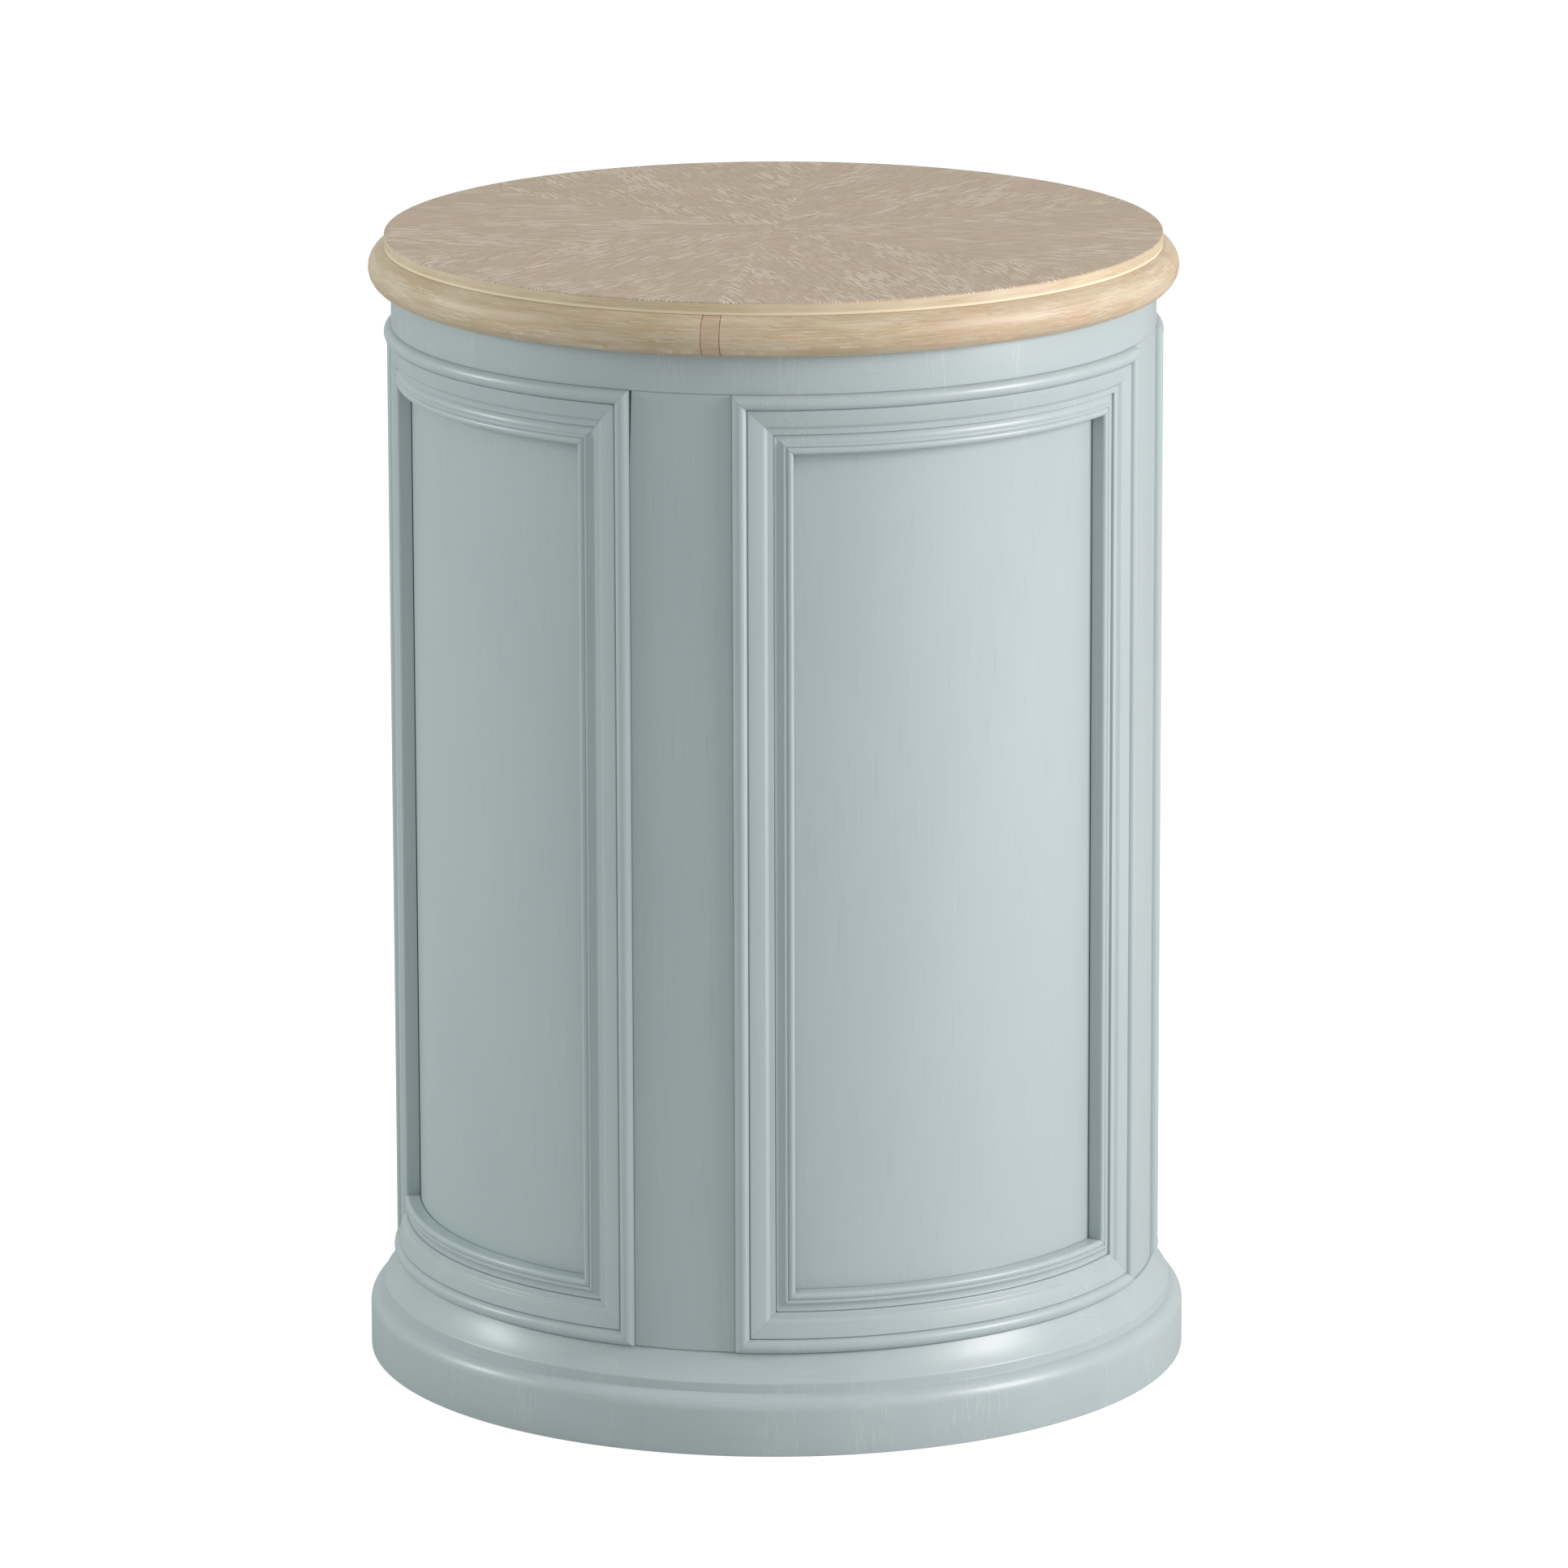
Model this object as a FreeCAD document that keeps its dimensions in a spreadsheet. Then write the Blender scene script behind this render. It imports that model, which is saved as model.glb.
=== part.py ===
"""Drum side table: a closed painted drum with four framed panels on a turned plinth,
under a round veneered top with a half-round rim.

Millimetres, +Z up.  The origin is the centre of the plinth's underside, and the
front panel faces -Y.  Seen from above, the four panels face -Y, +X, +Y and -X.
"""

import FreeCAD
import Part
import Sketcher

import math
import os

FULL_TURN = 360.0
QUARTER_TURN = 90.0
UP = FreeCAD.Vector(0, 0, 1)

doc = FreeCAD.newDocument("drum_side_table")
sheet = doc.addObject("Spreadsheet::Sheet", "Size")
exported = []


# ---------------------------------------------------------------- driving sizes
# Millimetres, except the turns, which are degrees, and the counts.

SIZES = {
    # Overall
    "height": 635.0,  # floor to the top face
    "drum_radius": 211.0,  # outside of the stiles and of the top board
    "glue_line": 0.1,  # clearance where a round piece sits inside another
    # Top
    "top_overhang": 3.4,  # top disc with its lipping, out past the drum
    "veneer_thickness": 0.8,  # sunburst veneer
    "disc_thickness": 6.4,  # top disc under the veneer
    "lipping_width": 6.0,  # solid edge bent round the top disc
    "wedge_count": 6,  # veneer wedges in the sunburst
    "wedge_turn": -9.2,  # direction of one joint between wedges, in degrees from +X
    # Half-round rim
    "rim_height": 22.4,  # rim segments, between the top board and the top disc
    "rim_foot_overhang": 2.1,  # where the rim's round starts at the bottom, out past the drum
    "rim_overhang": 3.8,  # where the rim's round ends at the top, out past the drum
    "rim_width": 18.8,  # rim segments, from that edge to their inside
    "rim_bulge": 9.45,  # how far the rim's round stands out from the chord between those two
    "rim_key_width": 9.6,  # short key between two rim segments
    "rim_joint_turn": -40.0,  # direction of one rim key, in degrees from -Y
    # Drum
    "top_board_thickness": 21.2,  # board over the drum; its edge shows as the plain band
    "panel_recess": 11.0,  # panel face behind the stiles' face
    "panel_thickness": 6.0,  # curved panel
    "stile_width": 56.7,  # stile, measured round the drum
    "former_thickness": 18.0,  # each of the three discs that hold the drum round
    # Outer moulding: depths are measured in from the drum's outside, across its width
    "bead_width": 8.0,  # large outer bead
    "bead_rise": 3.5,  # height of the large bead above its chord
    "bead_foot_rise": 0.6,  # both feet of the large bead, outside the drum's face
    "quirk_width": 0.6,  # narrow step beside the large bead
    "flat_rise": 1.6,  # flat beside the quirk, outside the drum's face
    "flat_width": 8.4,  # sloping flat
    "flat_depth": 0.5,  # inner end of the flat, inside the drum's face
    "scotia_width": 3.3,  # small scotia
    "scotia_depth": 2.2,  # foot of the scotia
    "scotia_hollow": 0.5,  # scotia below its chord
    "fine_bead_width": 1.7,  # fine bead at the inner edge
    "fine_bead_depth": 2.6,  # foot of the fine bead
    "fine_bead_bulge": 0.6,  # fine bead above its chord
    # Inner moulding
    "moulding_gap": 0.6,  # open joint between the outer and the inner moulding
    "cove_edge_depth": 4.0,  # outer edge of the cove
    "cove_width": 4.7,  # cove
    "cove_depth": 2.5,  # inner edge of the cove
    "cove_hollow": 0.8,  # cove below its chord
    "step_width": 1.2,  # narrow step beside the cove
    "groove_width": 0.9,  # V groove beside the step
    "groove_depth": 3.3,  # bottom of the V groove
    "groove_far_depth": 2.7,  # inner edge of the V groove
    "lip_width": 3.6,  # lip bead around the panel
    "lip_foot_depth": 4.3,  # where the lip bead turns down to the panel
    "lip_bulge": 1.2,  # lip bead above its chord
    # Plinth
    "plinth_height": 53.5,  # floor to the underside of the drum
    "plinth_step": 17.6,  # outside of the plinth, out past the drum
    "plinth_width": 50.6,  # plinth segments, from their outside to their inside
    "hollow_inset": 16.8,  # top of the hollow, under the drum, in from the plinth's outside
    "hollow_height": 14.7,  # hollow
    "hollow_depth": 0.7,  # hollow below its chord
    "fillet_inset": 7.7,  # upright fillet, in from the plinth's outside
    "fillet_height": 5.3,  # upright fillet, under the hollow
    "shoulder_height": 8.9,  # round shoulder, over the upright band
    "shoulder_bulge": 2.15,  # shoulder above its chord
    "base_board_thickness": 18.0,  # board let into the plinth
    "plinth_joint_turn": -50.0,  # direction of one plinth joint, in degrees from -Y
    # Screws
    "screw_count": 4,  # screws in each ring
    "screw_inset": 43.9,  # ring of screws, in from the edge of the formers
    "screw_radius": 2.4,  # screw shank
    "screw_clearance": 0.3,  # around the shank in the piece that is pulled down
    "screw_head_radius": 4.6,  # screw head
    "screw_head_height": 3.2,  # screw head
    "top_screw_length": 50.0,  # under the head, up into the top's core
    "base_screw_length": 31.0,  # under the head, up into the lower former
    "screw_point_length": 6.0,  # tapered end
    "screw_point_radius": 0.5,  # end of the point
}

for row, (alias, value) in enumerate(SIZES.items(), start=1):
    sheet.set(f"A{row}", alias)
    sheet.set(f"B{row}", str(value))
    sheet.setAlias(f"B{row}", alias)
doc.recompute()

# ------------------------------------------------------------- derived levels

VENEER_BOTTOM = "(Size.height - Size.veneer_thickness)"
DISC_BOTTOM = f"({VENEER_BOTTOM} - Size.disc_thickness)"
RIM_BOTTOM = f"({DISC_BOTTOM} - Size.rim_height)"
DRUM_TOP = f"({RIM_BOTTOM} - Size.top_board_thickness)"
DRUM_BOTTOM = "Size.plinth_height"
DRUM_HEIGHT = f"({DRUM_TOP} - {DRUM_BOTTOM})"
UPPER_FORMER_BOTTOM = f"({DRUM_TOP} - Size.former_thickness)"
MIDDLE_FORMER_BOTTOM = f"({DRUM_BOTTOM} + ({DRUM_HEIGHT} - Size.former_thickness) / 2)"
BASE_BOARD_BOTTOM = "(Size.plinth_height - Size.base_board_thickness)"
FILLET_TOP = "(Size.plinth_height - Size.hollow_height)"
SHOULDER_TOP = f"({FILLET_TOP} - Size.fillet_height)"
BAND_TOP = f"({SHOULDER_TOP} - Size.shoulder_height)"

TOP_RADIUS = "(Size.drum_radius + Size.top_overhang)"
LIPPING_INNER_RADIUS = f"({TOP_RADIUS} - Size.lipping_width)"
RIM_FOOT_RADIUS = "(Size.drum_radius + Size.rim_foot_overhang)"
RIM_SHOULDER_RADIUS = "(Size.drum_radius + Size.rim_overhang)"
RIM_INNER_RADIUS = f"({RIM_SHOULDER_RADIUS} - Size.rim_width)"
PANEL_RADIUS = "(Size.drum_radius - Size.panel_recess)"
HOLLOW_RADIUS = f"({PANEL_RADIUS} - Size.panel_thickness)"
FORMER_RADIUS = f"({HOLLOW_RADIUS} - Size.glue_line)"
PLINTH_RADIUS = "(Size.drum_radius + Size.plinth_step)"
PLINTH_INNER_RADIUS = f"({PLINTH_RADIUS} - Size.plinth_width)"
SCREW_CIRCLE_RADIUS = f"({FORMER_RADIUS} - Size.screw_inset)"

OUTER_WIDTH = (
    "(Size.bead_width + Size.quirk_width + Size.flat_width"
    " + Size.scotia_width + Size.fine_bead_width)"
)
INNER_WIDTH = "(Size.cove_width + Size.step_width + Size.groove_width + Size.lip_width)"
INNER_INSET = f"({OUTER_WIDTH} + Size.moulding_gap)"


def turned(length, radius):
    """The angle, in degrees, that a length covers round a circle of this radius."""
    return f"(({length}) / ({radius}) * 180 / pi)"


STILE_ANGLE = turned("Size.stile_width", "Size.drum_radius")
PANEL_ANGLE = f"({QUARTER_TURN} - {STILE_ANGLE})"
RIM_KEY_ANGLE = turned("Size.rim_key_width", RIM_SHOULDER_RADIUS)

# ---------------------------------------------------------------- sketch tools

# How a sketch numbers its own axes and the points of its edges.
ACROSS_AXIS_ID = -1
UPRIGHT_AXIS_ID = -2
START_ID = 1
END_ID = 2
CENTRE_ID = 3
ORIGIN_POINT = (ACROSS_AXIS_ID, START_ID)


def number(expression):
    """The present value of an expression on the sheet."""
    return float(sheet.evalExpression(expression))


def sketch_in(body, name, role):
    """A new sketch on one of the body's own origin planes."""
    sketch = body.newObject("Sketcher::SketchObject", name)
    plane = next(item for item in body.Origin.OriginFeatures if item.Role == role)
    sketch.AttachmentSupport = [(plane, "")]
    sketch.MapMode = "FlatFace"
    return sketch


def constrain(sketch, kind, *details, driven_by=None):
    """Add a constraint and, for a dimension, bind it to an expression."""
    if driven_by is None:
        sketch.addConstraint(Sketcher.Constraint(kind, *details))
        return
    index = sketch.addConstraint(Sketcher.Constraint(kind, *details, number(driven_by)))
    sketch.setExpression(f"Constraints[{index}]", driven_by)


def arc_through(start, end, bulge):
    """A counter-clockwise arc between two points, and whether it runs end to start.

    A positive bulge lies to the right of the way from start to end.
    """
    chord = end - start
    half = chord.Length / 2
    radius = (half * half + bulge * bulge) / (2 * abs(bulge))
    right = FreeCAD.Vector(chord.y, -chord.x, 0).normalize()
    side = 1 if bulge > 0 else -1
    centre = (start + end) / 2 - right * (side * (radius - abs(bulge)))
    first, last = (start, end) if side > 0 else (end, start)
    first_angle = math.atan2(first.y - centre.y, first.x - centre.x)
    last_angle = math.atan2(last.y - centre.y, last.x - centre.x)
    circle = Part.Circle(centre, UP, radius)
    return Part.ArcOfCircle(circle, first_angle, last_angle), side < 0


class Corner:
    """A corner of an outline.

    A bulge curves the edge that leaves it, to the radius that a chord of this squared
    length and the bulge give, or to a radius of its own.
    """

    def __init__(self, across, up, bulge=None, chord=None, radius=None):
        self.across = across
        self.up = up
        self.bulge = bulge
        self.chord = chord
        self.radius = radius


def draw_outline(sketch, corners):
    """Draw a closed outline whose corners and arcs all follow the sheet."""
    points = [FreeCAD.Vector(number(c.across), number(c.up), 0) for c in corners]
    starts = []
    ends = []
    for index, corner in enumerate(corners):
        here = points[index]
        there = points[(index + 1) % len(points)]
        if corner.bulge is None:
            edge = sketch.addGeometry(Part.LineSegment(here, there))
            reverse = False
        else:
            arc, reverse = arc_through(here, there, number(corner.bulge))
            edge = sketch.addGeometry(arc)
        starts.append((edge, END_ID if reverse else START_ID))
        ends.append((edge, START_ID if reverse else END_ID))
    for index, corner in enumerate(corners):
        constrain(sketch, "Coincident", *ends[index - 1], *starts[index])
        if corner.across == "0":
            constrain(sketch, "PointOnObject", *starts[index], UPRIGHT_AXIS_ID)
        else:
            constrain(sketch, "DistanceX", *ORIGIN_POINT, *starts[index], driven_by=corner.across)
        if corner.up == "0":
            constrain(sketch, "PointOnObject", *starts[index], ACROSS_AXIS_ID)
        else:
            constrain(sketch, "DistanceY", *ORIGIN_POINT, *starts[index], driven_by=corner.up)
    for index, corner in enumerate(corners):
        if corner.bulge is not None:
            following = corners[(index + 1) % len(corners)]
            chord = corner.chord or (
                f"(({following.across}) - ({corner.across}))^2"
                f" + (({following.up}) - ({corner.up}))^2"
            )
            radius = corner.radius or (
                f"({chord}) / (8 * abs({corner.bulge})) + abs({corner.bulge}) / 2"
            )
            constrain(sketch, "Radius", starts[index][0], driven_by=radius)


def draw_circle(sketch, radius, centre="0"):
    """Draw a circle with its centre on the sketch's first axis."""
    middle = FreeCAD.Vector(number(centre), 0, 0)
    edge = sketch.addGeometry(Part.Circle(middle, UP, number(radius)))
    constrain(sketch, "Radius", edge, driven_by=radius)
    constrain(sketch, "PointOnObject", edge, CENTRE_ID, ACROSS_AXIS_ID)
    if centre == "0":
        constrain(sketch, "PointOnObject", edge, CENTRE_ID, UPRIGHT_AXIS_ID)
    else:
        constrain(sketch, "DistanceX", *ORIGIN_POINT, edge, CENTRE_ID, driven_by=centre)


# ------------------------------------------------------------------ body tools


def new_body(label, turn="0", level="0"):
    """A sub-part's body, turned about the table's axis and set at a level."""
    body = doc.addObject("PartDesign::Body", label)
    body.Label = label
    body.Placement = FreeCAD.Placement(FreeCAD.Vector(), FreeCAD.Rotation(UP, 0))
    body.setExpression("Placement.Rotation.Angle", turn)
    body.setExpression("Placement.Base.z", level)
    return body


def keep(sub_part):
    """Send this sub-part to the parts folder under its label."""
    exported.append(sub_part)
    return sub_part


def revolve(body, corners, angle):
    """Revolve an outline about the table's axis, centred on the body's +X side."""
    profile = sketch_in(body, f"{body.Label}_section", "XZ_Plane")
    draw_outline(profile, corners)
    turned_piece = body.newObject("PartDesign::Revolution", f"{body.Label}_turned")
    turned_piece.Profile = profile
    turned_piece.ReferenceAxis = (profile, ["V_Axis"])
    turned_piece.Midplane = True
    turned_piece.setExpression("Angle", angle)
    profile.Visibility = False
    return turned_piece


def pad(body, draw, height):
    """Pad a plan upwards; draw puts the plan in the sketch it is given."""
    plan = sketch_in(body, f"{body.Label}_plan", "XY_Plane")
    draw(plan)
    prism = body.newObject("PartDesign::Pad", f"{body.Label}_pad")
    prism.Profile = plan
    prism.setExpression("Length", height)
    plan.Visibility = False
    return prism


def cut_through(body, sketch, name):
    """Cut a sketch's outline right through the body, both ways."""
    before = body.Shape.Volume
    pocket = body.newObject("PartDesign::Pocket", f"{body.Label}_{name}")
    pocket.Profile = sketch
    pocket.Type = "ThroughAll"
    pocket.SideType = "Symmetric"
    sketch.Visibility = False
    doc.recompute()
    if not body.Shape.Volume < before:
        raise RuntimeError(f"{body.Label}: {name} removed nothing")
    return pocket


def ring_of(body, feature, count):
    """Repeat a feature evenly round the table's axis."""
    pattern = body.newObject("PartDesign::PolarPattern", f"{body.Label}_ring")
    pattern.Originals = [feature]
    pattern.Axis = (next(item for item in body.Origin.OriginFeatures if item.Role == "Z_Axis"), [""])
    pattern.Angle = FULL_TURN
    pattern.setExpression("Occurrences", count)
    body.Tip = pattern
    return pattern


def rectangle(inner, outer, bottom, top):
    """Corners of a plain section between two radii and two levels."""
    return [
        Corner(inner, bottom),
        Corner(outer, bottom),
        Corner(outer, top),
        Corner(inner, top),
    ]


def disc(label, radius, thickness, level, screw_hole=None):
    """A plain round board, with a ring of screw holes if a hole radius is given."""
    body = new_body(label, level=level)
    pad(body, lambda plan: draw_circle(plan, radius), thickness)
    doc.recompute()
    if screw_hole is not None:
        hole = sketch_in(body, f"{label}_hole", "XY_Plane")
        draw_circle(hole, screw_hole, SCREW_CIRCLE_RADIUS)
        ring_of(body, cut_through(body, hole, "drilling"), "Size.screw_count")
    return keep(body)


def arc_piece(label, corners, angle, turn, level="0"):
    """A curved piece: a section revolved through an angle and turned to its place."""
    body = new_body(label, turn, level)
    revolve(body, corners, angle)
    return keep(body)


# -------------------------------------------------------------------- the top

top_wedges = []
for wedge in range(int(number("Size.wedge_count"))):
    wedge_angle = f"({FULL_TURN} / Size.wedge_count)"
    wedge_body = new_body(
        f"veneer_wedge_{wedge + 1}",
        f"Size.wedge_turn + {wedge_angle} * {wedge + 0.5}",
        VENEER_BOTTOM,
    )
    revolve(wedge_body, rectangle("0", TOP_RADIUS, "0", "Size.veneer_thickness"), wedge_angle)
    top_wedges.append(wedge_body)
top_veneer = doc.addObject("Part::Compound", "top_veneer")
top_veneer.Label = "top_veneer"
top_veneer.Links = top_wedges
keep(top_veneer)

disc("top_disc", f"{LIPPING_INNER_RADIUS} - Size.glue_line", "Size.disc_thickness", DISC_BOTTOM)
arc_piece(
    "top_lipping",
    rectangle(LIPPING_INNER_RADIUS, TOP_RADIUS, "0", "Size.disc_thickness"),
    str(FULL_TURN),
    "0",
    DISC_BOTTOM,
)

# The core fills the rim ring, and takes the screws that come up through the drum.
PILOT_RADIUS = "Size.screw_radius"
top_core = new_body("top_core", level=RIM_BOTTOM)
pad(top_core, lambda plan: draw_circle(plan, f"{RIM_INNER_RADIUS} - Size.glue_line"), "Size.rim_height")
doc.recompute()
pilot = sketch_in(top_core, "top_core_pilot", "XY_Plane")
draw_circle(pilot, PILOT_RADIUS, SCREW_CIRCLE_RADIUS)
TOP_SCREW_BITE = "(Size.top_screw_length - Size.former_thickness - Size.top_board_thickness)"
core_before = top_core.Shape.Volume
pilot_hole = top_core.newObject("PartDesign::Pocket", "top_core_drilling")
pilot_hole.Profile = pilot
pilot_hole.Reversed = True
pilot_hole.setExpression("Length", TOP_SCREW_BITE)
doc.recompute()
if not top_core.Shape.Volume < core_before:
    raise RuntimeError("top_core: the pilot hole removed nothing")
ring_of(top_core, pilot_hole, "Size.screw_count")
keep(top_core)

# --------------------------------------------------------------- half-round rim

RIM_SECTION = [
    Corner(RIM_INNER_RADIUS, "0"),
    Corner(RIM_FOOT_RADIUS, "0", "Size.rim_bulge"),
    Corner(RIM_SHOULDER_RADIUS, "Size.rim_height"),
    Corner(RIM_INNER_RADIUS, "Size.rim_height"),
]
for segment in range(4):
    arc_piece(
        f"rim_segment_{segment + 1}",
        RIM_SECTION,
        f"{QUARTER_TURN} - {RIM_KEY_ANGLE}",
        f"Size.rim_joint_turn - {QUARTER_TURN} + {QUARTER_TURN} * {segment + 0.5}",
        RIM_BOTTOM,
    )
rim_keys = new_body("rim_keys", f"Size.rim_joint_turn - {QUARTER_TURN}", RIM_BOTTOM)
rim_key = revolve(rim_keys, RIM_SECTION, RIM_KEY_ANGLE)
doc.recompute()
ring_of(rim_keys, rim_key, "4")
keep(rim_keys)

# ------------------------------------------------------------------- the drum

SCREW_HOLE = "Size.screw_radius + Size.screw_clearance"
disc("top_board", "Size.drum_radius", "Size.top_board_thickness", DRUM_TOP, SCREW_HOLE)
disc("former_upper", FORMER_RADIUS, "Size.former_thickness", UPPER_FORMER_BOTTOM, SCREW_HOLE)
disc("former_middle", FORMER_RADIUS, "Size.former_thickness", MIDDLE_FORMER_BOTTOM)
disc("former_lower", FORMER_RADIUS, "Size.former_thickness", DRUM_BOTTOM, PILOT_RADIUS)

# Counter-clockwise seen from above, each panel with the stile that follows it.
SIDES = ["front", "right", "back", "left"]
CORNERS = ["front_right", "back_right", "back_left", "front_left"]


def side_direction(index):
    """Which way a side faces, in degrees from +X: the front faces -Y."""
    return QUARTER_TURN * (index - 1)


for index, side in enumerate(SIDES):
    arc_piece(
        f"panel_{side}",
        rectangle(HOLLOW_RADIUS, PANEL_RADIUS, "0", DRUM_HEIGHT),
        PANEL_ANGLE,
        str(side_direction(index)),
        DRUM_BOTTOM,
    )
for index, corner in enumerate(CORNERS):
    arc_piece(
        f"stile_{corner}",
        rectangle(HOLLOW_RADIUS, "Size.drum_radius", "0", DRUM_HEIGHT),
        STILE_ANGLE,
        str(side_direction(index) + QUARTER_TURN / 2),
        DRUM_BOTTOM,
    )

# ---------------------------------------------------------------- the mouldings
# A moulding's section is a list of steps across its width, from its outer edge:
# how far in, how deep below the drum's face, and the bulge of the edge that follows.


class Step:
    """A corner of a moulding's face."""

    def __init__(self, inward, depth, bulge=None):
        self.inward = inward
        self.depth = depth
        self.bulge = bulge


QUIRK_AT = "Size.bead_width"
FLAT_AT = f"({QUIRK_AT} + Size.quirk_width)"
SCOTIA_AT = f"({FLAT_AT} + Size.flat_width)"
FINE_BEAD_AT = f"({SCOTIA_AT} + Size.scotia_width)"
OUTER_FACE = [
    Step("0", "-Size.bead_foot_rise", "Size.bead_rise"),
    Step(QUIRK_AT, "-Size.bead_foot_rise"),
    Step(FLAT_AT, "-Size.flat_rise"),
    Step(SCOTIA_AT, "Size.flat_depth", "-Size.scotia_hollow"),
    Step(FINE_BEAD_AT, "Size.scotia_depth", "Size.fine_bead_bulge"),
    Step(OUTER_WIDTH, "Size.fine_bead_depth"),
]
STEP_AT = "Size.cove_width"
GROOVE_AT = f"({STEP_AT} + Size.step_width)"
LIP_AT = f"({GROOVE_AT} + Size.groove_width)"
INNER_FACE = [
    Step("0", "Size.cove_edge_depth", "-Size.cove_hollow"),
    Step(STEP_AT, "Size.cove_depth"),
    Step(GROOVE_AT, "Size.cove_depth"),
    Step(f"({GROOVE_AT} + Size.groove_width / 2)", "Size.groove_depth"),
    Step(LIP_AT, "Size.groove_far_depth", "Size.lip_bulge"),
    Step(INNER_WIDTH, "Size.lip_foot_depth"),
]
MITRE_MARGIN = 2.0


def closed_section(face, width):
    """The moulding's face with its flat back on the panel."""
    back_start = Step("0", "Size.panel_recess")
    back_end = Step(width, "Size.panel_recess")
    return [back_start, *face, back_end]


def face_chord(step, following):
    """The squared length of the edge between two steps."""
    return (
        f"(({following.inward}) - ({step.inward}))^2"
        f" + (({following.depth}) - ({step.depth}))^2"
    )


def rail_corners(face, width, upward):
    """A curved rail's section: radius across, its width up or down from its outer edge."""
    steps = closed_section(face, width)
    corners = []
    for step in steps:
        radius = f"(Size.drum_radius - ({step.depth}))"
        rise = step.inward
        if rise != "0" and upward < 0:
            rise = f"-({step.inward})"
        bulge = step.bulge
        if bulge is not None and upward < 0:
            bulge = f"-({step.bulge})"
        corners.append(Corner(radius, rise, bulge))
    return corners


def leg_corners(face, width, hand):
    """A leg's section in plan, bent round the drum so that it matches the rails."""
    steps = closed_section(face, width)
    corners = []
    for index, step in enumerate(steps):
        following = steps[(index + 1) % len(steps)]
        radius = f"(Size.drum_radius - ({step.depth}))"
        angle = turned(f"({width}) / 2 - ({step.inward})", "Size.drum_radius")
        across = f"{radius} * cos({angle})"
        up = f"{hand} * {radius} * sin({angle})"
        bulge = step.bulge
        if bulge is not None and hand > 0:
            bulge = f"-({step.bulge})"
        corners.append(Corner(across, up, bulge, face_chord(step, following)))
    back_bulge = f"{hand} * ({width})^2 / (8 * {PANEL_RADIUS})"
    corners[-1] = Corner(corners[-1].across, corners[-1].up, back_bulge, radius=PANEL_RADIUS)
    return corners


def tangent_sketch(body, name, angle, hand):
    """A sketch that faces outwards from the axis, turned by an angle to one hand."""
    sketch = sketch_in(body, f"{body.Label}_{name}", "YZ_Plane")
    upright_in_sketch = FreeCAD.Vector(0, hand, 0)
    sketch.AttachmentOffset = FreeCAD.Placement(
        FreeCAD.Vector(), FreeCAD.Rotation(upright_in_sketch, number(angle))
    )
    sketch.setExpression("AttachmentOffset.Rotation.Angle", angle)
    return sketch


def moulding_leg(label, face, width, inset, direction, hand):
    """An upright leg of a frame, mitred at both ends.

    hand is 1 for the leg on the counter-clockwise side seen from above, -1 for the other.
    """
    middle = turned(f"({inset}) + ({width}) / 2", "Size.drum_radius")
    body = new_body(
        label,
        f"{direction} + {hand} * ({PANEL_ANGLE} / 2 - {middle})",
        f"({DRUM_BOTTOM} + ({inset}))",
    )
    length = f"({DRUM_HEIGHT} - 2 * ({inset}))"
    pad(body, lambda plan: draw_outline(plan, leg_corners(face, width, hand)), length)
    doc.recompute()
    outside = f"{hand} * (({width}) / 2 + {MITRE_MARGIN})"
    inside = f"{-hand} * (({width}) / 2 + {MITRE_MARGIN})"
    overrun = f"(({width}) + {MITRE_MARGIN})"
    for end, base, sense in (("top", length, 1), ("foot", "0", -1)):
        mitre = sketch_in(body, f"{label}_{end}_line", "YZ_Plane")
        tip = f"{base} + {sense * MITRE_MARGIN}"
        draw_outline(
            mitre,
            [
                Corner(outside, tip),
                Corner(inside, f"{base} - {sense} * {overrun}"),
                Corner(inside, tip),
            ],
        )
        cut_through(body, mitre, f"{end}_mitre")
    return keep(body)


def moulding_rail(label, face, width, inset, direction, upward):
    """A curved rail of a frame, mitred at both ends.

    upward is 1 for the bottom rail, whose width runs up from its outer edge, -1 for the top.
    """
    edge = f"({DRUM_BOTTOM} + ({inset}))" if upward > 0 else f"({DRUM_TOP} - ({inset}))"
    body = new_body(label, str(direction), edge)
    half_angle = f"({PANEL_ANGLE} / 2 - {turned(inset, 'Size.drum_radius')})"
    revolve(body, rail_corners(face, width, upward), f"2 * {half_angle}")
    doc.recompute()
    middle = f"({half_angle} - {turned(f'({width}) / 2', 'Size.drum_radius')})"
    overrun = f"(({width}) + {MITRE_MARGIN})"
    for name, hand in (("near", -1), ("far", 1)):
        mitre = tangent_sketch(body, f"{name}_line", middle, hand)
        outside = f"{hand} * (({width}) / 2 + {MITRE_MARGIN})"
        inside = f"{-hand} * (({width}) / 2 + {MITRE_MARGIN})"
        draw_outline(
            mitre,
            [
                Corner(outside, f"{-upward * MITRE_MARGIN}"),
                Corner(inside, f"{upward} * {overrun}"),
                Corner(outside, f"{upward} * {overrun}"),
            ],
        )
        cut_through(body, mitre, f"{name}_mitre")
    return keep(body)


for index, side in enumerate(SIDES):
    direction = side_direction(index)
    for kind, face, width, inset in (
        ("outer", OUTER_FACE, OUTER_WIDTH, "0"),
        ("inner", INNER_FACE, INNER_WIDTH, INNER_INSET),
    ):
        moulding_leg(f"{kind}_leg_{side}_left", face, width, inset, direction, -1)
        moulding_leg(f"{kind}_leg_{side}_right", face, width, inset, direction, 1)
        moulding_rail(f"{kind}_rail_{side}_bottom", face, width, inset, direction, 1)
        moulding_rail(f"{kind}_rail_{side}_top", face, width, inset, direction, -1)

# ------------------------------------------------------------------ the plinth


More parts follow.
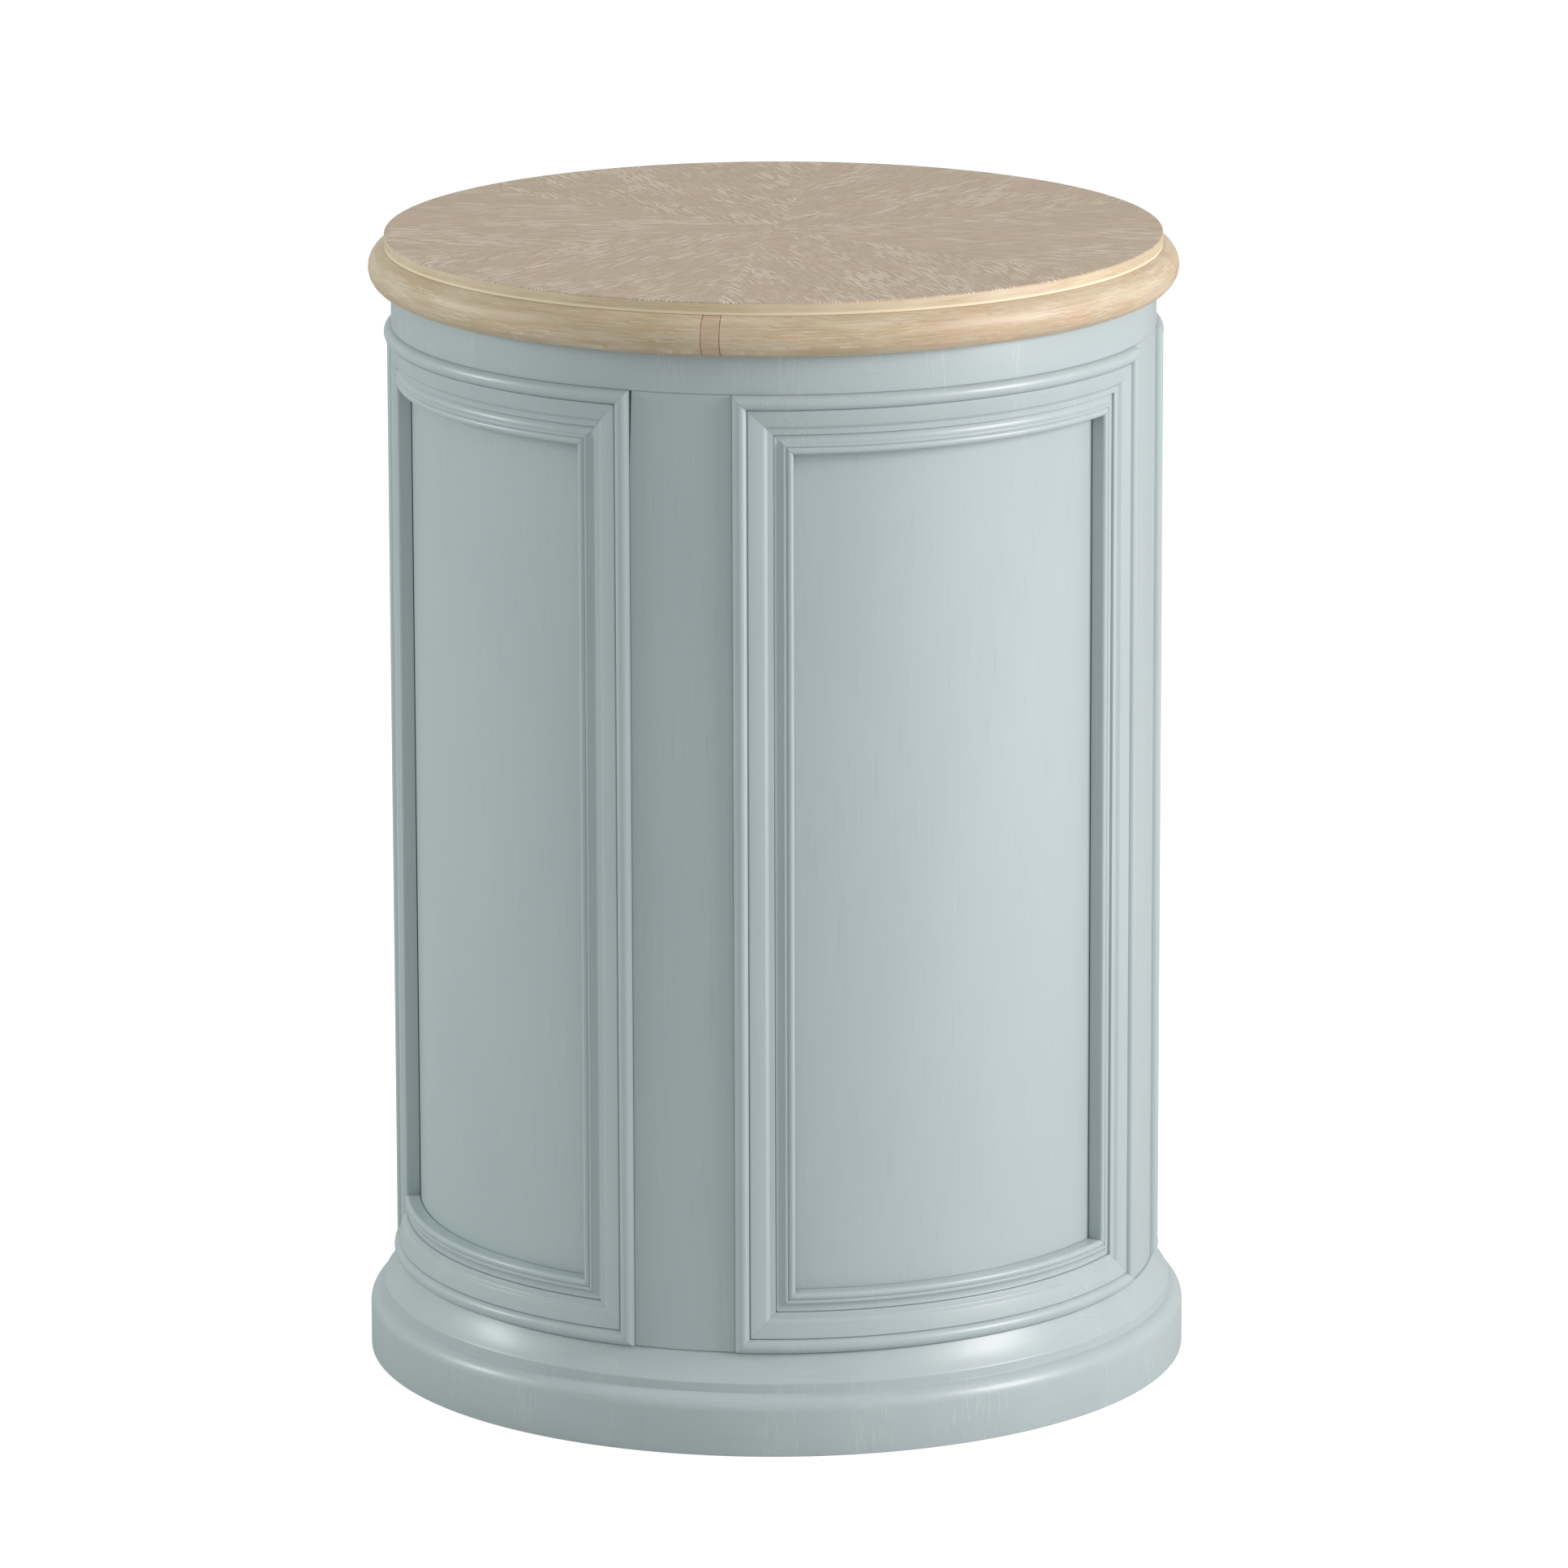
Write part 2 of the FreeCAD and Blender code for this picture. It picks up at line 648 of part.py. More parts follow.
def plinth_in(inset):
    """A radius given as a distance in from the plinth's outside."""
    return f"({PLINTH_RADIUS} - {inset})"


PLINTH_SECTION = [
    Corner(PLINTH_INNER_RADIUS, "0"),
    Corner(PLINTH_RADIUS, "0"),
    Corner(PLINTH_RADIUS, BAND_TOP, "Size.shoulder_bulge"),
    Corner(plinth_in("Size.fillet_inset"), SHOULDER_TOP),
    Corner(plinth_in("Size.fillet_inset"), FILLET_TOP, "-Size.hollow_depth"),
    Corner(plinth_in("Size.hollow_inset"), "Size.plinth_height"),
    Corner(PLINTH_INNER_RADIUS, "Size.plinth_height"),
]
for segment in range(4):
    arc_piece(
        f"plinth_segment_{segment + 1}",
        PLINTH_SECTION,
        str(QUARTER_TURN),
        f"Size.plinth_joint_turn - {QUARTER_TURN} + {QUARTER_TURN} * {segment + 0.5}",
    )
disc(
    "base_board",
    f"{PLINTH_INNER_RADIUS} - Size.glue_line",
    "Size.base_board_thickness",
    BASE_BOARD_BOTTOM,
    SCREW_HOLE,
)

# ------------------------------------------------------------------ the screws


def screw_ring(label, length, level):
    """A ring of pan-head screws, heads down, whose heads meet the board above them."""
    body = new_body(label, level=level)
    profile = sketch_in(body, f"{label}_section", "XZ_Plane")
    centre = SCREW_CIRCLE_RADIUS
    shank_end = f"({length} - Size.screw_point_length)"
    draw_outline(
        profile,
        [
            Corner(centre, "-Size.screw_head_height"),
            Corner(f"{centre} + Size.screw_head_radius", "-Size.screw_head_height"),
            Corner(f"{centre} + Size.screw_head_radius", "0"),
            Corner(f"{centre} + Size.screw_radius", "0"),
            Corner(f"{centre} + Size.screw_radius", shank_end),
            Corner(f"{centre} + Size.screw_point_radius", length),
            Corner(centre, length),
        ],
    )
    axis_top = FreeCAD.Vector(number(centre), number(length), 0)
    axis_foot = FreeCAD.Vector(number(centre), 0, 0)
    axis = profile.addGeometry(Part.LineSegment(axis_foot, axis_top), True)
    constrain(profile, "Vertical", axis)
    constrain(profile, "DistanceX", *ORIGIN_POINT, axis, START_ID, driven_by=centre)
    turned_screw = body.newObject("PartDesign::Revolution", f"{label}_turned")
    turned_screw.Profile = profile
    turned_screw.ReferenceAxis = (profile, ["Axis0"])
    turned_screw.Angle = FULL_TURN
    doc.recompute()
    ring_of(body, turned_screw, "Size.screw_count")
    return keep(body)


screw_ring("top_screws", "Size.top_screw_length", UPPER_FORMER_BOTTOM)
screw_ring("base_screws", "Size.base_screw_length", BASE_BOARD_BOTTOM)

# ------------------------------------------------------------- check and export

doc.recompute()
for item in doc.Objects:
    if "Invalid" in item.State or "Error" in item.State:
        raise RuntimeError(f"{item.Label}: {item.State}")
for sub_part in exported:
    if sub_part.Shape.isNull() or not sub_part.Shape.isValid():
        raise RuntimeError(f"{sub_part.Label}: bad shape")

os.makedirs("parts", exist_ok=True)
for sub_part in exported:
    sub_part.Shape.exportStep(os.path.join("parts", f"{sub_part.Label}.step"))
print(f"{len(exported)} sub-parts written")
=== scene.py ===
import math

import bpy
from mathutils import Matrix, Vector


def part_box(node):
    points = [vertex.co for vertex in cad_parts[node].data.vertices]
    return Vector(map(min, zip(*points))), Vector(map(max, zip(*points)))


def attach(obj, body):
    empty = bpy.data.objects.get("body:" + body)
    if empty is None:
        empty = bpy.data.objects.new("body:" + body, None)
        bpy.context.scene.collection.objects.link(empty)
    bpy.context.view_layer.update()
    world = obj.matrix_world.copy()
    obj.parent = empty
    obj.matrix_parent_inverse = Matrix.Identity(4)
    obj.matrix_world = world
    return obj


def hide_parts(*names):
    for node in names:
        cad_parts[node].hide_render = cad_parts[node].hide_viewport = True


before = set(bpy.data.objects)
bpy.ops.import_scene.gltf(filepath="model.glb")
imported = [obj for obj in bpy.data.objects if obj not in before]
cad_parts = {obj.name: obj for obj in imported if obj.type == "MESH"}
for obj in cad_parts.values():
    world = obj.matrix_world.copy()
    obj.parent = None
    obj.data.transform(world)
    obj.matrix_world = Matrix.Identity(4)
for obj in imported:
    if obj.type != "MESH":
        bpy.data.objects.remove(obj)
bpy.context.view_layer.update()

# Drum side table: finishes, eased edges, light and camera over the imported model.
# The table's lengths are millimetres, as in the workshop, and become metres in the mesh.
# Camera, lamps and floor are placed in metres.
# Angles are degrees seen from above, from +X towards +Y; the front faces -Y (-90).

MM = 0.001
FULL_TURN = 360.0
QUARTERS = 4
QUARTER_TURN = FULL_TURN / QUARTERS


def level(node, side):
    """The lowest (0) or highest (1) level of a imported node, in millimetres."""
    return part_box(node)[side].z / MM


# ------------------------------------------------------------------ main sizes

TABLE_TOP = level("top_veneer", 1)
LIPPING_TOP = level("top_lipping", 1)
RIM_TOP = level("rim_segment_1", 1)
RIM_FOOT = level("rim_segment_1", 0)
BOARD_FOOT = level("top_board", 0)
DRUM_FOOT = level("panel_front", 0)
DRUM_HEIGHT = BOARD_FOOT - DRUM_FOOT

TOP_RADIUS = 214.4
DRUM_RADIUS = 211.0
HOLLOW_RADIUS = 194.0
PLINTH_RADIUS = 228.6

WEDGES = 6
WEDGE_ANGLE = FULL_TURN / WEDGES
WEDGE_TURN = -9.2
RIM_JOINT = -130.0
RIM_KEY_WIDTH = 9.6
PLINTH_JOINT = -140.0
STILE_WIDTH = 56.7

SIDES = {"front": -90.0, "right": 0.0, "back": 90.0, "left": 180.0}
CORNERS = {"front_right": -45.0, "back_right": 45.0, "back_left": 135.0, "front_left": 225.0}


def drum_angle(distance):
    """The angle in degrees that a distance round the drum's face takes."""
    return math.degrees(distance / DRUM_RADIUS)


STILE_HALF_ANGLE = drum_angle(STILE_WIDTH / 2)
BAY_HALF_ANGLE = QUARTER_TURN / 2 - STILE_HALF_ANGLE

# ---------------------------------------------------------------- shader maths

# The pores of a lane lie off its middle by up to half of PORE_WANDER, in lanes. Across,
# a pore is full within PORE_CORE of its width from its middle, and gone at PORE_EDGE.
# Along, it fades out between the PORE_ENDS, in shares of its length from its middle, or
# up to PORE_SPREAD further. The faintest has PORE_FAINTEST of the strength of a full one.
# LANE_SHIFT, in pore lengths, keeps neighbouring lanes out of step.
PORE_WANDER = 0.5
PORE_CORE = 0.3
PORE_EDGE = 0.8
PORE_ENDS = (0.2, 0.1)
PORE_SPREAD = 0.3
PORE_FAINTEST = 0.35
LANE_SHIFT = 17.0


class Flow:
    """What leaves a node's socket; as a number, its operators add Math nodes."""

    def __init__(self, nodes, socket):
        self.nodes = nodes
        self.socket = socket

    def __add__(self, other):
        return self.nodes.math("ADD", self, other)

    def __radd__(self, other):
        return self.nodes.math("ADD", other, self)

    def __sub__(self, other):
        return self.nodes.math("SUBTRACT", self, other)

    def __rsub__(self, other):
        return self.nodes.math("SUBTRACT", other, self)

    def __mul__(self, other):
        return self.nodes.math("MULTIPLY", self, other)

    def __rmul__(self, other):
        return self.nodes.math("MULTIPLY", other, self)

    def __truediv__(self, other):
        return self.nodes.math("DIVIDE", self, other)

    def __rtruediv__(self, other):
        return self.nodes.math("DIVIDE", other, self)

    def twin(self, name):
        """Another output of the same node."""
        return Flow(self.nodes, self.socket.node.outputs[name])


class Nodes:
    """The nodes of a material or of the world, while they are made."""

    def __init__(self, tree):
        self.tree = tree

    def add(self, kind, settings=None, inputs=None, out=0):
        """Add any node: its settings first, then the values or links of its sockets."""
        node = self.tree.nodes.new(kind)
        for name, value in (settings or {}).items():
            setattr(node, name, value)
        for name, value in (inputs or {}).items():
            self.feed(node.inputs[name], value)
        return Flow(self, node.outputs[out]) if node.outputs else None

    def feed(self, socket, value):
        """Link a socket, or set its number or its colour of three values."""
        if isinstance(value, Flow):
            self.tree.links.new(value.socket, socket)
        elif isinstance(value, tuple):
            socket.default_value = (*value, 1.0)
        else:
            socket.default_value = value

    def math(self, operation, *values):
        """One operation on numbers."""
        return self.add("ShaderNodeMath", {"operation": operation}, dict(enumerate(values)))

    def vector(self, x, y, z):
        """Three numbers as one vector."""
        return self.add("ShaderNodeCombineXYZ", None, {"X": x, "Y": y, "Z": z})

    def mix(self, amount, first, second):
        """Mix two colours."""
        return self.add("ShaderNodeMix", {"data_type": "RGBA"}, {0: amount, 6: first, 7: second}, out=2)

    def step(self, value, low, high):
        """A soft step from 0 at low to 1 at high, which may run downwards."""
        inputs = {"Value": value, "From Min": min(low, high), "From Max": max(low, high)}
        rise = self.add("ShaderNodeMapRange", {"interpolation_type": "SMOOTHSTEP"}, inputs)
        return rise if low < high else 1.0 - rise

    def noise(self, place, sizes, detail=2.0, roughness=0.5, fourth=None):
        """Noise from 0 to 1; sizes says how long its features are along each part of place."""
        spot = self.vector(*(part / size for part, size in zip(place, sizes)))
        settings = {"noise_dimensions": "3D" if fourth is None else "4D"}
        inputs = {"Vector": spot, "Scale": 1.0, "Detail": detail, "Roughness": roughness}
        if fourth is not None:
            inputs["W"] = fourth
        return self.add("ShaderNodeTexNoise", settings, inputs)

    def chance(self, x, y, z):
        """A random number from 0 to 1 for each place."""
        settings = {"noise_dimensions": "3D"}
        return self.add("ShaderNodeTexWhiteNoise", settings, {"Vector": self.vector(x, y, z)}, out="Value")

    def dashes(self, along, across, seed, pitch, length, width):
        """Short straight pores in lanes side by side, from 0 to 1."""
        lanes = across / pitch
        lane = self.math("FLOOR", lanes)
        shift = self.chance(lane, seed, 0.5)
        off = self.math("ABSOLUTE", self.math("FRACT", lanes) - 0.5 + (shift - 0.5) * PORE_WANDER)
        runs = along / length + shift * LANE_SHIFT
        run = self.math("FLOOR", runs)
        luck = self.chance(lane, seed, run)
        reach = self.math("ABSOLUTE", self.math("FRACT", runs) - 0.5)
        stripe = self.step(off, width / pitch * PORE_EDGE, width / pitch * PORE_CORE)
        end = self.step(reach - luck * PORE_SPREAD, *PORE_ENDS)
        return stripe * end * (PORE_FAINTEST + luck * (1 - PORE_FAINTEST))


class Finish(Nodes):
    """A material being made: its nodes, and its Principled shader."""

    def __init__(self, name, **constants):
        self.material = bpy.data.materials.new(name)
        self.material.use_nodes = True
        super().__init__(self.material.node_tree)
        self.shader = self.tree.nodes["Principled BSDF"]
        for socket, value in constants.items():
            self.feed(self.shader.inputs[socket.replace("_", " ")], value)

    def position(self):
        """x, y and z in millimetres."""
        place = self.add("ShaderNodeTexCoord", out="Object")
        scaled = self.add("ShaderNodeVectorMath", {"operation": "SCALE"}, {0: place, "Scale": 1 / MM})
        x = self.add("ShaderNodeSeparateXYZ", None, {0: scaled}, out="X")
        return x, x.twin("Y"), x.twin("Z")

    def radius(self, x, y):
        """How far a place is from the table's axis."""
        return self.math("SQRT", x * x + y * y)

    def attribute(self, name):
        """A number that the mesh carries at each of its points."""
        settings = {"attribute_type": "GEOMETRY", "attribute_name": name}
        return self.add("ShaderNodeAttribute", settings, out="Fac")

    def end(self, colour, roughness=None, height=None, depth=0.0):
        """Send colour, roughness and relief (depth in millimetres) to the shader."""
        self.feed(self.shader.inputs["Base Color"], colour)
        if roughness is not None:
            self.feed(self.shader.inputs["Roughness"], roughness)
        if height is not None:
            inputs = {"Strength": 1.0, "Distance": depth * MM, "Height": height}
            self.feed(self.shader.inputs["Normal"], self.add("ShaderNodeBump", None, inputs))
        return self.material


def tone(red, green, blue):
    """A colour given in screen values from 0 to 255, as the linear values nodes take."""

    def linear(value):
        value = value / 255
        return value / 12.92 if value <= 0.04045 else ((value + 0.055) / 1.055) ** 2.4

    return (linear(red), linear(green), linear(blue))


# -------------------------------------------------------------------- finishes

VENEER_WARM = tone(194, 170, 145)
VENEER_COOL = tone(190, 170, 146)
VENEER_DARK = tone(168, 149, 128)
VENEER_LIGHT = tone(206, 190, 168)
VENEER_LIME = tone(240, 230, 215)
VENEER_SWAY = 5.0
WEDGE_SEED = 37.7


def limed_oak_veneer():
    """Six straight-grained oak wedges, their open grain filled with white wax."""
    finish = Finish("limed_oak_veneer")
    x, y, _ = finish.position()
    degrees = finish.math("ARCTAN2", y, x) * (180 / math.pi)
    wedge = finish.math("FLOOR", (degrees - WEDGE_TURN) / WEDGE_ANGLE + WEDGES)
    bisector = ((wedge + 0.5 - WEDGES) * WEDGE_ANGLE + WEDGE_TURN) * (math.pi / 180)
    cosine = finish.math("COSINE", bisector)
    sine = finish.math("SINE", bisector)
    along = x * cosine + y * sine
    across = y * cosine - x * sine
    seed = wedge * WEDGE_SEED
    sway = finish.noise((along, across, seed + 20.0), sizes=(170, 60, 1), detail=1.0) * VENEER_SWAY
    patches = finish.noise((along, across, seed), sizes=(70, 30, 1))
    fibre = finish.noise((along, across, seed + 3.0), sizes=(45, 1.1, 1), roughness=0.6)
    clusters = finish.noise((along, across, seed + 5.0), sizes=(45, 22, 1), detail=3.0, roughness=0.6)
    coarse = finish.dashes(along, across + sway, seed, pitch=2.2, length=26.0, width=0.62)
    fine = finish.dashes(along, across + sway, seed + 1.0, pitch=1.25, length=19.0, width=0.42)
    lime = coarse * (finish.step(clusters, 0.42, 0.6) + 0.15) + fine * 0.4
    base = finish.mix(finish.step(patches, 0.3, 0.7), VENEER_WARM, VENEER_COOL)
    base = finish.mix(finish.step(fibre, 0.45, 0.25) * 0.45, base, VENEER_DARK)
    base = finish.mix(finish.step(fibre, 0.55, 0.75) * 0.35, base, VENEER_LIGHT)
    base = finish.mix(lime, base, VENEER_LIME)
    return finish.end(base, roughness=0.5 + fibre * 0.2, height=fibre, depth=0.02)


OAK_DARK = tone(158, 128, 94)
OAK_LIME = tone(240, 230, 210)
# Painted highlight: a light band along the lipping's lower edge, where light catches it.
OAK_PAINTED_HIGHLIGHT = tone(244, 230, 202)
# Darkest colour for dark joints and for painted shade under the lipping.
OAK_JOINT_AND_SHADE = tone(112, 84, 58)
OAK_SWAY = 4.0
PAINTED_HIGHLIGHT_HEIGHT = 1.5
PAINTED_HIGHLIGHT_FADE = 0.3
PAINTED_HIGHLIGHT_START = 0.1


def oak(name, light, dark, rose, lime):
    """Solid oak whose grain runs round the table, with lime left in its pores, a painted highlight along
    the lipping's foot, and dark joints with painted shade.
    """
    finish = Finish(name, Coat_Weight=0.1, Coat_Roughness=0.3)
    x, y, z = finish.position()
    place = (x, y, z)
    out = finish.radius(x, y)
    patches = finish.noise(place, sizes=(40, 40, 7), detail=3.0, roughness=0.55, fourth=out / 7)
    blush = finish.noise(place, sizes=(30, 30, 12), fourth=out / 12 + 7.0)
    fibre = finish.noise(place, sizes=(26, 26, 0.8), detail=3.0, roughness=0.6, fourth=out / 0.8)
    clusters = finish.noise(place, sizes=(22, 22, 5), fourth=out / 5 + 9.0)
    sway = finish.noise(place, sizes=(45, 45, 20), detail=1.0) * OAK_SWAY
    along = finish.math("ARCTAN2", y, x) * TOP_RADIUS
    pores = finish.dashes(along, z - out + sway, seed=2.0, pitch=1.15, length=13.0, width=0.42)
    base = finish.mix(finish.step(patches, 0.35, 0.65), light, dark)
    base = finish.mix(finish.step(blush, 0.5, 0.68) * 0.5, base, rose)
    base = finish.mix(finish.step(fibre, 0.48, 0.28) * 0.4, base, OAK_DARK)
    base = finish.mix(finish.step(fibre, 0.55, 0.72) * 0.3, base, OAK_LIME)
    base = finish.mix(pores * (0.2 + finish.step(clusters, 0.45, 0.65) * 0.7) * lime, base, OAK_LIME)
    # Painted highlight: a light band along the bottom of the lipping, just over the rim.
    above = finish.step(z, RIM_TOP, RIM_TOP + PAINTED_HIGHLIGHT_START)
    below = finish.step(z, RIM_TOP + PAINTED_HIGHLIGHT_HEIGHT + PAINTED_HIGHLIGHT_FADE, RIM_TOP + PAINTED_HIGHLIGHT_HEIGHT)
    base = finish.mix(above * below * 0.85, base, OAK_PAINTED_HIGHLIGHT)
    # Dark joints, and painted shade under the lipping, from the mesh's marks.
    base = finish.mix(finish.attribute("gap"), base, OAK_JOINT_AND_SHADE)
    return finish.end(base, roughness=0.36 + fibre * 0.2, height=fibre, depth=0.03)


PAINT_DEEP = tone(174, 188, 189)
PAINT_PALE = tone(182, 196, 196)
PAINT_DARK = tone(150, 162, 162)
PAINT_LIGHT = tone(205, 213, 212)
PAINT_BRUSHED = tone(216, 224, 222)
# Darkest colour for dark joints and for painted shade in creases and under edges.
PAINT_JOINT_AND_SHADE = tone(52, 58, 60)
GRAIN_WIDTH = 1.1
UPRIGHT_GRAIN = (GRAIN_WIDTH, GRAIN_WIDTH, 34.0)
ROUND_GRAIN = (40.0, 40.0, GRAIN_WIDTH)
BRUSH_WIDTH = 0.8
BRUSH_STREAK = (BRUSH_WIDTH, BRUSH_WIDTH, 12.0)


def paint(name, upright):
    """Satin blue-grey paint, through which the open grain just shows, darkened where the mesh marks dark
    joints and painted shade.
    """
    finish = Finish(name, Coat_Weight=0.2, Coat_Roughness=0.22)
    x, y, z = finish.position()
    place = (x, y, z)
    out = finish.radius(x, y)
    sizes = UPRIGHT_GRAIN if upright else ROUND_GRAIN
    grain = finish.noise(place, sizes, detail=4.0, roughness=0.6, fourth=out / GRAIN_WIDTH)
    cloud = finish.noise(place, sizes=(60, 60, 120))
    base = finish.mix(cloud, PAINT_DEEP, PAINT_PALE)
    base = finish.mix(finish.step(grain, 0.42, 0.28) * 0.25, base, PAINT_DARK)
    base = finish.mix(finish.step(grain, 0.60, 0.72) * 0.25, base, PAINT_LIGHT)
    if not upright:
        streaks = finish.noise(place, BRUSH_STREAK, roughness=0.6, fourth=out / BRUSH_WIDTH)
        worn = finish.noise(place, sizes=(34, 34, 200), detail=1.0)
        brushed = finish.step(streaks, 0.5, 0.7) * finish.step(worn, 0.5, 0.62)
        base = finish.mix(brushed * 0.3, base, PAINT_BRUSHED)
    # Dark joints, and painted shade in creases and under edges, from the mesh's marks.
    base = finish.mix(finish.attribute("gap"), base, PAINT_JOINT_AND_SHADE)
    return finish.end(base, roughness=0.34 + grain * 0.1, height=grain, depth=0.012)


def board(name, light, dark):
    """Bare board, for the parts inside and underneath."""
    finish = Finish(name, Roughness=0.75)
    fibre = finish.noise(finish.position(), sizes=(60, 2.5, 2.5), detail=4.0, roughness=0.6)
    return finish.end(finish.mix(finish.step(fibre, 0.3, 0.7), dark, light), height=fibre, depth=0.1)


ZINC_DARK = tone(150, 152, 150)
ZINC_LIGHT = tone(196, 198, 194)


def zinc_plate():
    """Zinc-plated steel."""
    finish = Finish("zinc_plate", Metallic=1.0)
    wear = finish.noise(finish.position(), sizes=(1.5, 1.5, 1.5), detail=3.0)
    return finish.end(finish.mix(wear, ZINC_DARK, ZINC_LIGHT), roughness=0.3 + wear * 0.2)


FINISHES = {
    "veneer": limed_oak_veneer(),
    "lipping": oak("oak_lipping", tone(216, 200, 169), tone(209, 189, 154), tone(214, 192, 161), lime=0.3),
    "rim": oak("oak_rim", tone(206, 190, 162), tone(194, 172, 138), tone(210, 176, 146), lime=0.6),
    "key": oak("oak_key", tone(202, 176, 150), tone(190, 166, 136), tone(206, 168, 146), lime=0.3),
    "paint_upright": paint("blue_grey_paint_upright", upright=True),
    "paint_round": paint("blue_grey_paint_round", upright=False),
    "plywood": board("plywood", tone(206, 180, 140), tone(178, 148, 108)),
    "core": board("core_board", tone(176, 150, 118), tone(150, 124, 92)),
    "zinc": zinc_plate(),
}

# ---------------------------------------------------------------- section work

ARC_POINTS = 10
EASE_POINTS = 3
LEAST_BULGE = 1e-6
# How far a dark line, a dark joint or painted shade, fades out on either side of its corner.
DARK_MARK_SPREAD = 0.3


class Corner:
    """A corner of a section, with the bulge of the edge after it.

    ease is how far back its rounding starts; the last number, from 0 to 1, is how dark the line on it is:
    a dark joint, or painted shade in a crease or under an edge.
    """

    def __init__(self, out, up, bulge=0.0, ease=0.0, gap=0.0):
        self.place = Vector((out, up))
        self.bulge = bulge
        self.ease = ease
        self.gap = gap

    def reach(self):
        """How far its easing and its dark line, a dark joint or painted shade, reach along the section."""
        return self.ease + (DARK_MARK_SPREAD if self.gap > 0 else 0.0)


def section(corners, closed=True):
    """Turn corners into points of out, up and darkness (a dark joint or painted shade): arcs are divided
    and sharp corners eased.
    """
    count = len(corners)
    edges = section_edges(corners, closed)
    points = []
    for index, corner in enumerate(corners):
        before = edges[index - 1] if closed or index > 0 else None
        after = edges[index] if closed or index < count - 1 else None
        points += corner_points(corner, before, after)
        if after:
            points += arc_points_left(after, corner.reach(), corners[(index + 1) % count].reach())
    return points


def section_edges(corners, closed):
    """The points along each edge of a section, from its corner to the next one."""
    starts = [corner.place for corner in corners]
    ends = starts[1:] + (starts[:1] if closed else [])
    return [
        [start, *arc_between(start, end, corner.bulge), end]
        for corner, start, end in zip(corners, starts, ends)
    ]


def arc_between(start, end, bulge):
    """Points strictly between two ends, on the arc that bulges to the right of the way."""
    if abs(bulge) < LEAST_BULGE:
        return []
    chord = end - start
    half = chord.length / 2
    radius = (half * half + bulge * bulge) / (2 * abs(bulge))
    right = Vector((chord.y, -chord.x)).normalized()
    side = 1 if bulge > 0 else -1
    centre = (start + end) / 2 - right * (side * (radius - abs(bulge)))
    first = start - centre
    sweep = first.angle_signed(end - centre)
    turns = [-sweep * index / ARC_POINTS for index in range(1, ARC_POINTS)]
    return [centre + Matrix.Rotation(turn, 2) @ first for turn in turns]


def corner_points(corner, before, after):
    """A corner's own points: its easing, and a light point on each side of its dark line, a dark joint or
    painted shade.
    """
    points = []
    if corner.gap > 0 and before:
        points.append((*walk(before[::-1], corner.reach()), 0.0))
    if corner.ease > 0 and before and after:
        back = walk(before[::-1], corner.ease)
        forward = walk(after, corner.ease)
        for index in range(EASE_POINTS + 1):
            share = index / EASE_POINTS
            bend = corner.place * (2 * share * (1 - share))
            spot = back * (1 - share) ** 2 + bend + forward * share**2
            points.append((*spot, corner.gap))
    else:
        points.append((*corner.place, corner.gap))
    if corner.gap > 0 and after:
        points.append((*walk(after, corner.reach()), 0.0))
    return points


def arc_points_left(edge, lead, trail):
    """The inner points of an edge that the reach of its two corners leaves standing."""
    total = sum((b - a).length for a, b in zip(edge, edge[1:]))
    gone = 0.0
    points = []
    for a, b in zip(edge, edge[1:-1]):
        gone += (b - a).length
        if gone > lead and total - gone > trail:
            points.append((*b, 0.0))
    return points


def walk(edge, distance):
    """The point at a distance along an edge."""
    for a, b in zip(edge, edge[1:]):
        length = (b - a).length
        if length >= distance:
            return a + (b - a) * (distance / length)
        distance -= length
    return edge[-1]


def shrink(outline, distance):
    """The outline, moved inwards by a small distance."""
    count = len(outline)
    area = 0.0
    for index, (out, up, _) in enumerate(outline):
        next_out, next_up, _ = outline[(index + 1) % count]
        area += out * next_up - next_out * up
    side = 1 if area > 0 else -1
    moved = []
    for index, (out, up, mark) in enumerate(outline):
        before = Vector(outline[index - 1][:2])
        after = Vector(outline[(index + 1) % count][:2])
        way = (after - before).normalized()
        inward = Vector((-way.y, way.x)) * side
        moved.append((out + inward.x * distance, up + inward.y * distance, mark))
    return moved


# ------------------------------------------------------------------ mesh tools

SMOOTH_ANGLE = math.radians(32)
TURN_STEP = 1.5
PANEL_STEP = 1.0


class Shell:
    """Points and faces of a piece while it is built from rows of equal length."""

    def __init__(self):
        self.points = []
        self.joint_and_painted_shade_marks = []
        self.faces = []

    def row(self, points, joint_and_painted_shade_marks):
        """Add a row of points with their marks of dark joint and painted shade, and give back their
        numbers.
        """
        first = len(self.points)
        self.points.extend(points)
        self.joint_and_painted_shade_marks.extend(joint_and_painted_shade_marks)
        return list(range(first, first + len(points)))

    def skin(self, rows, ring=False, capped=True, loop=True):
        """Join rows of points; ring joins the last row to the first, loop closes each row."""
        pairs = list(zip(rows, rows[1:]))
        if ring:
            pairs.append((rows[-1], rows[0]))
        for near, far in pairs:
            count = len(near)
            for index in range(count if loop else count - 1):
                after = (index + 1) % count
                self.faces.append((near[index], near[after], far[after], far[index]))
        if capped and not ring:
            self.faces.append(tuple(reversed(rows[0])))
            self.faces.append(tuple(rows[-1]))


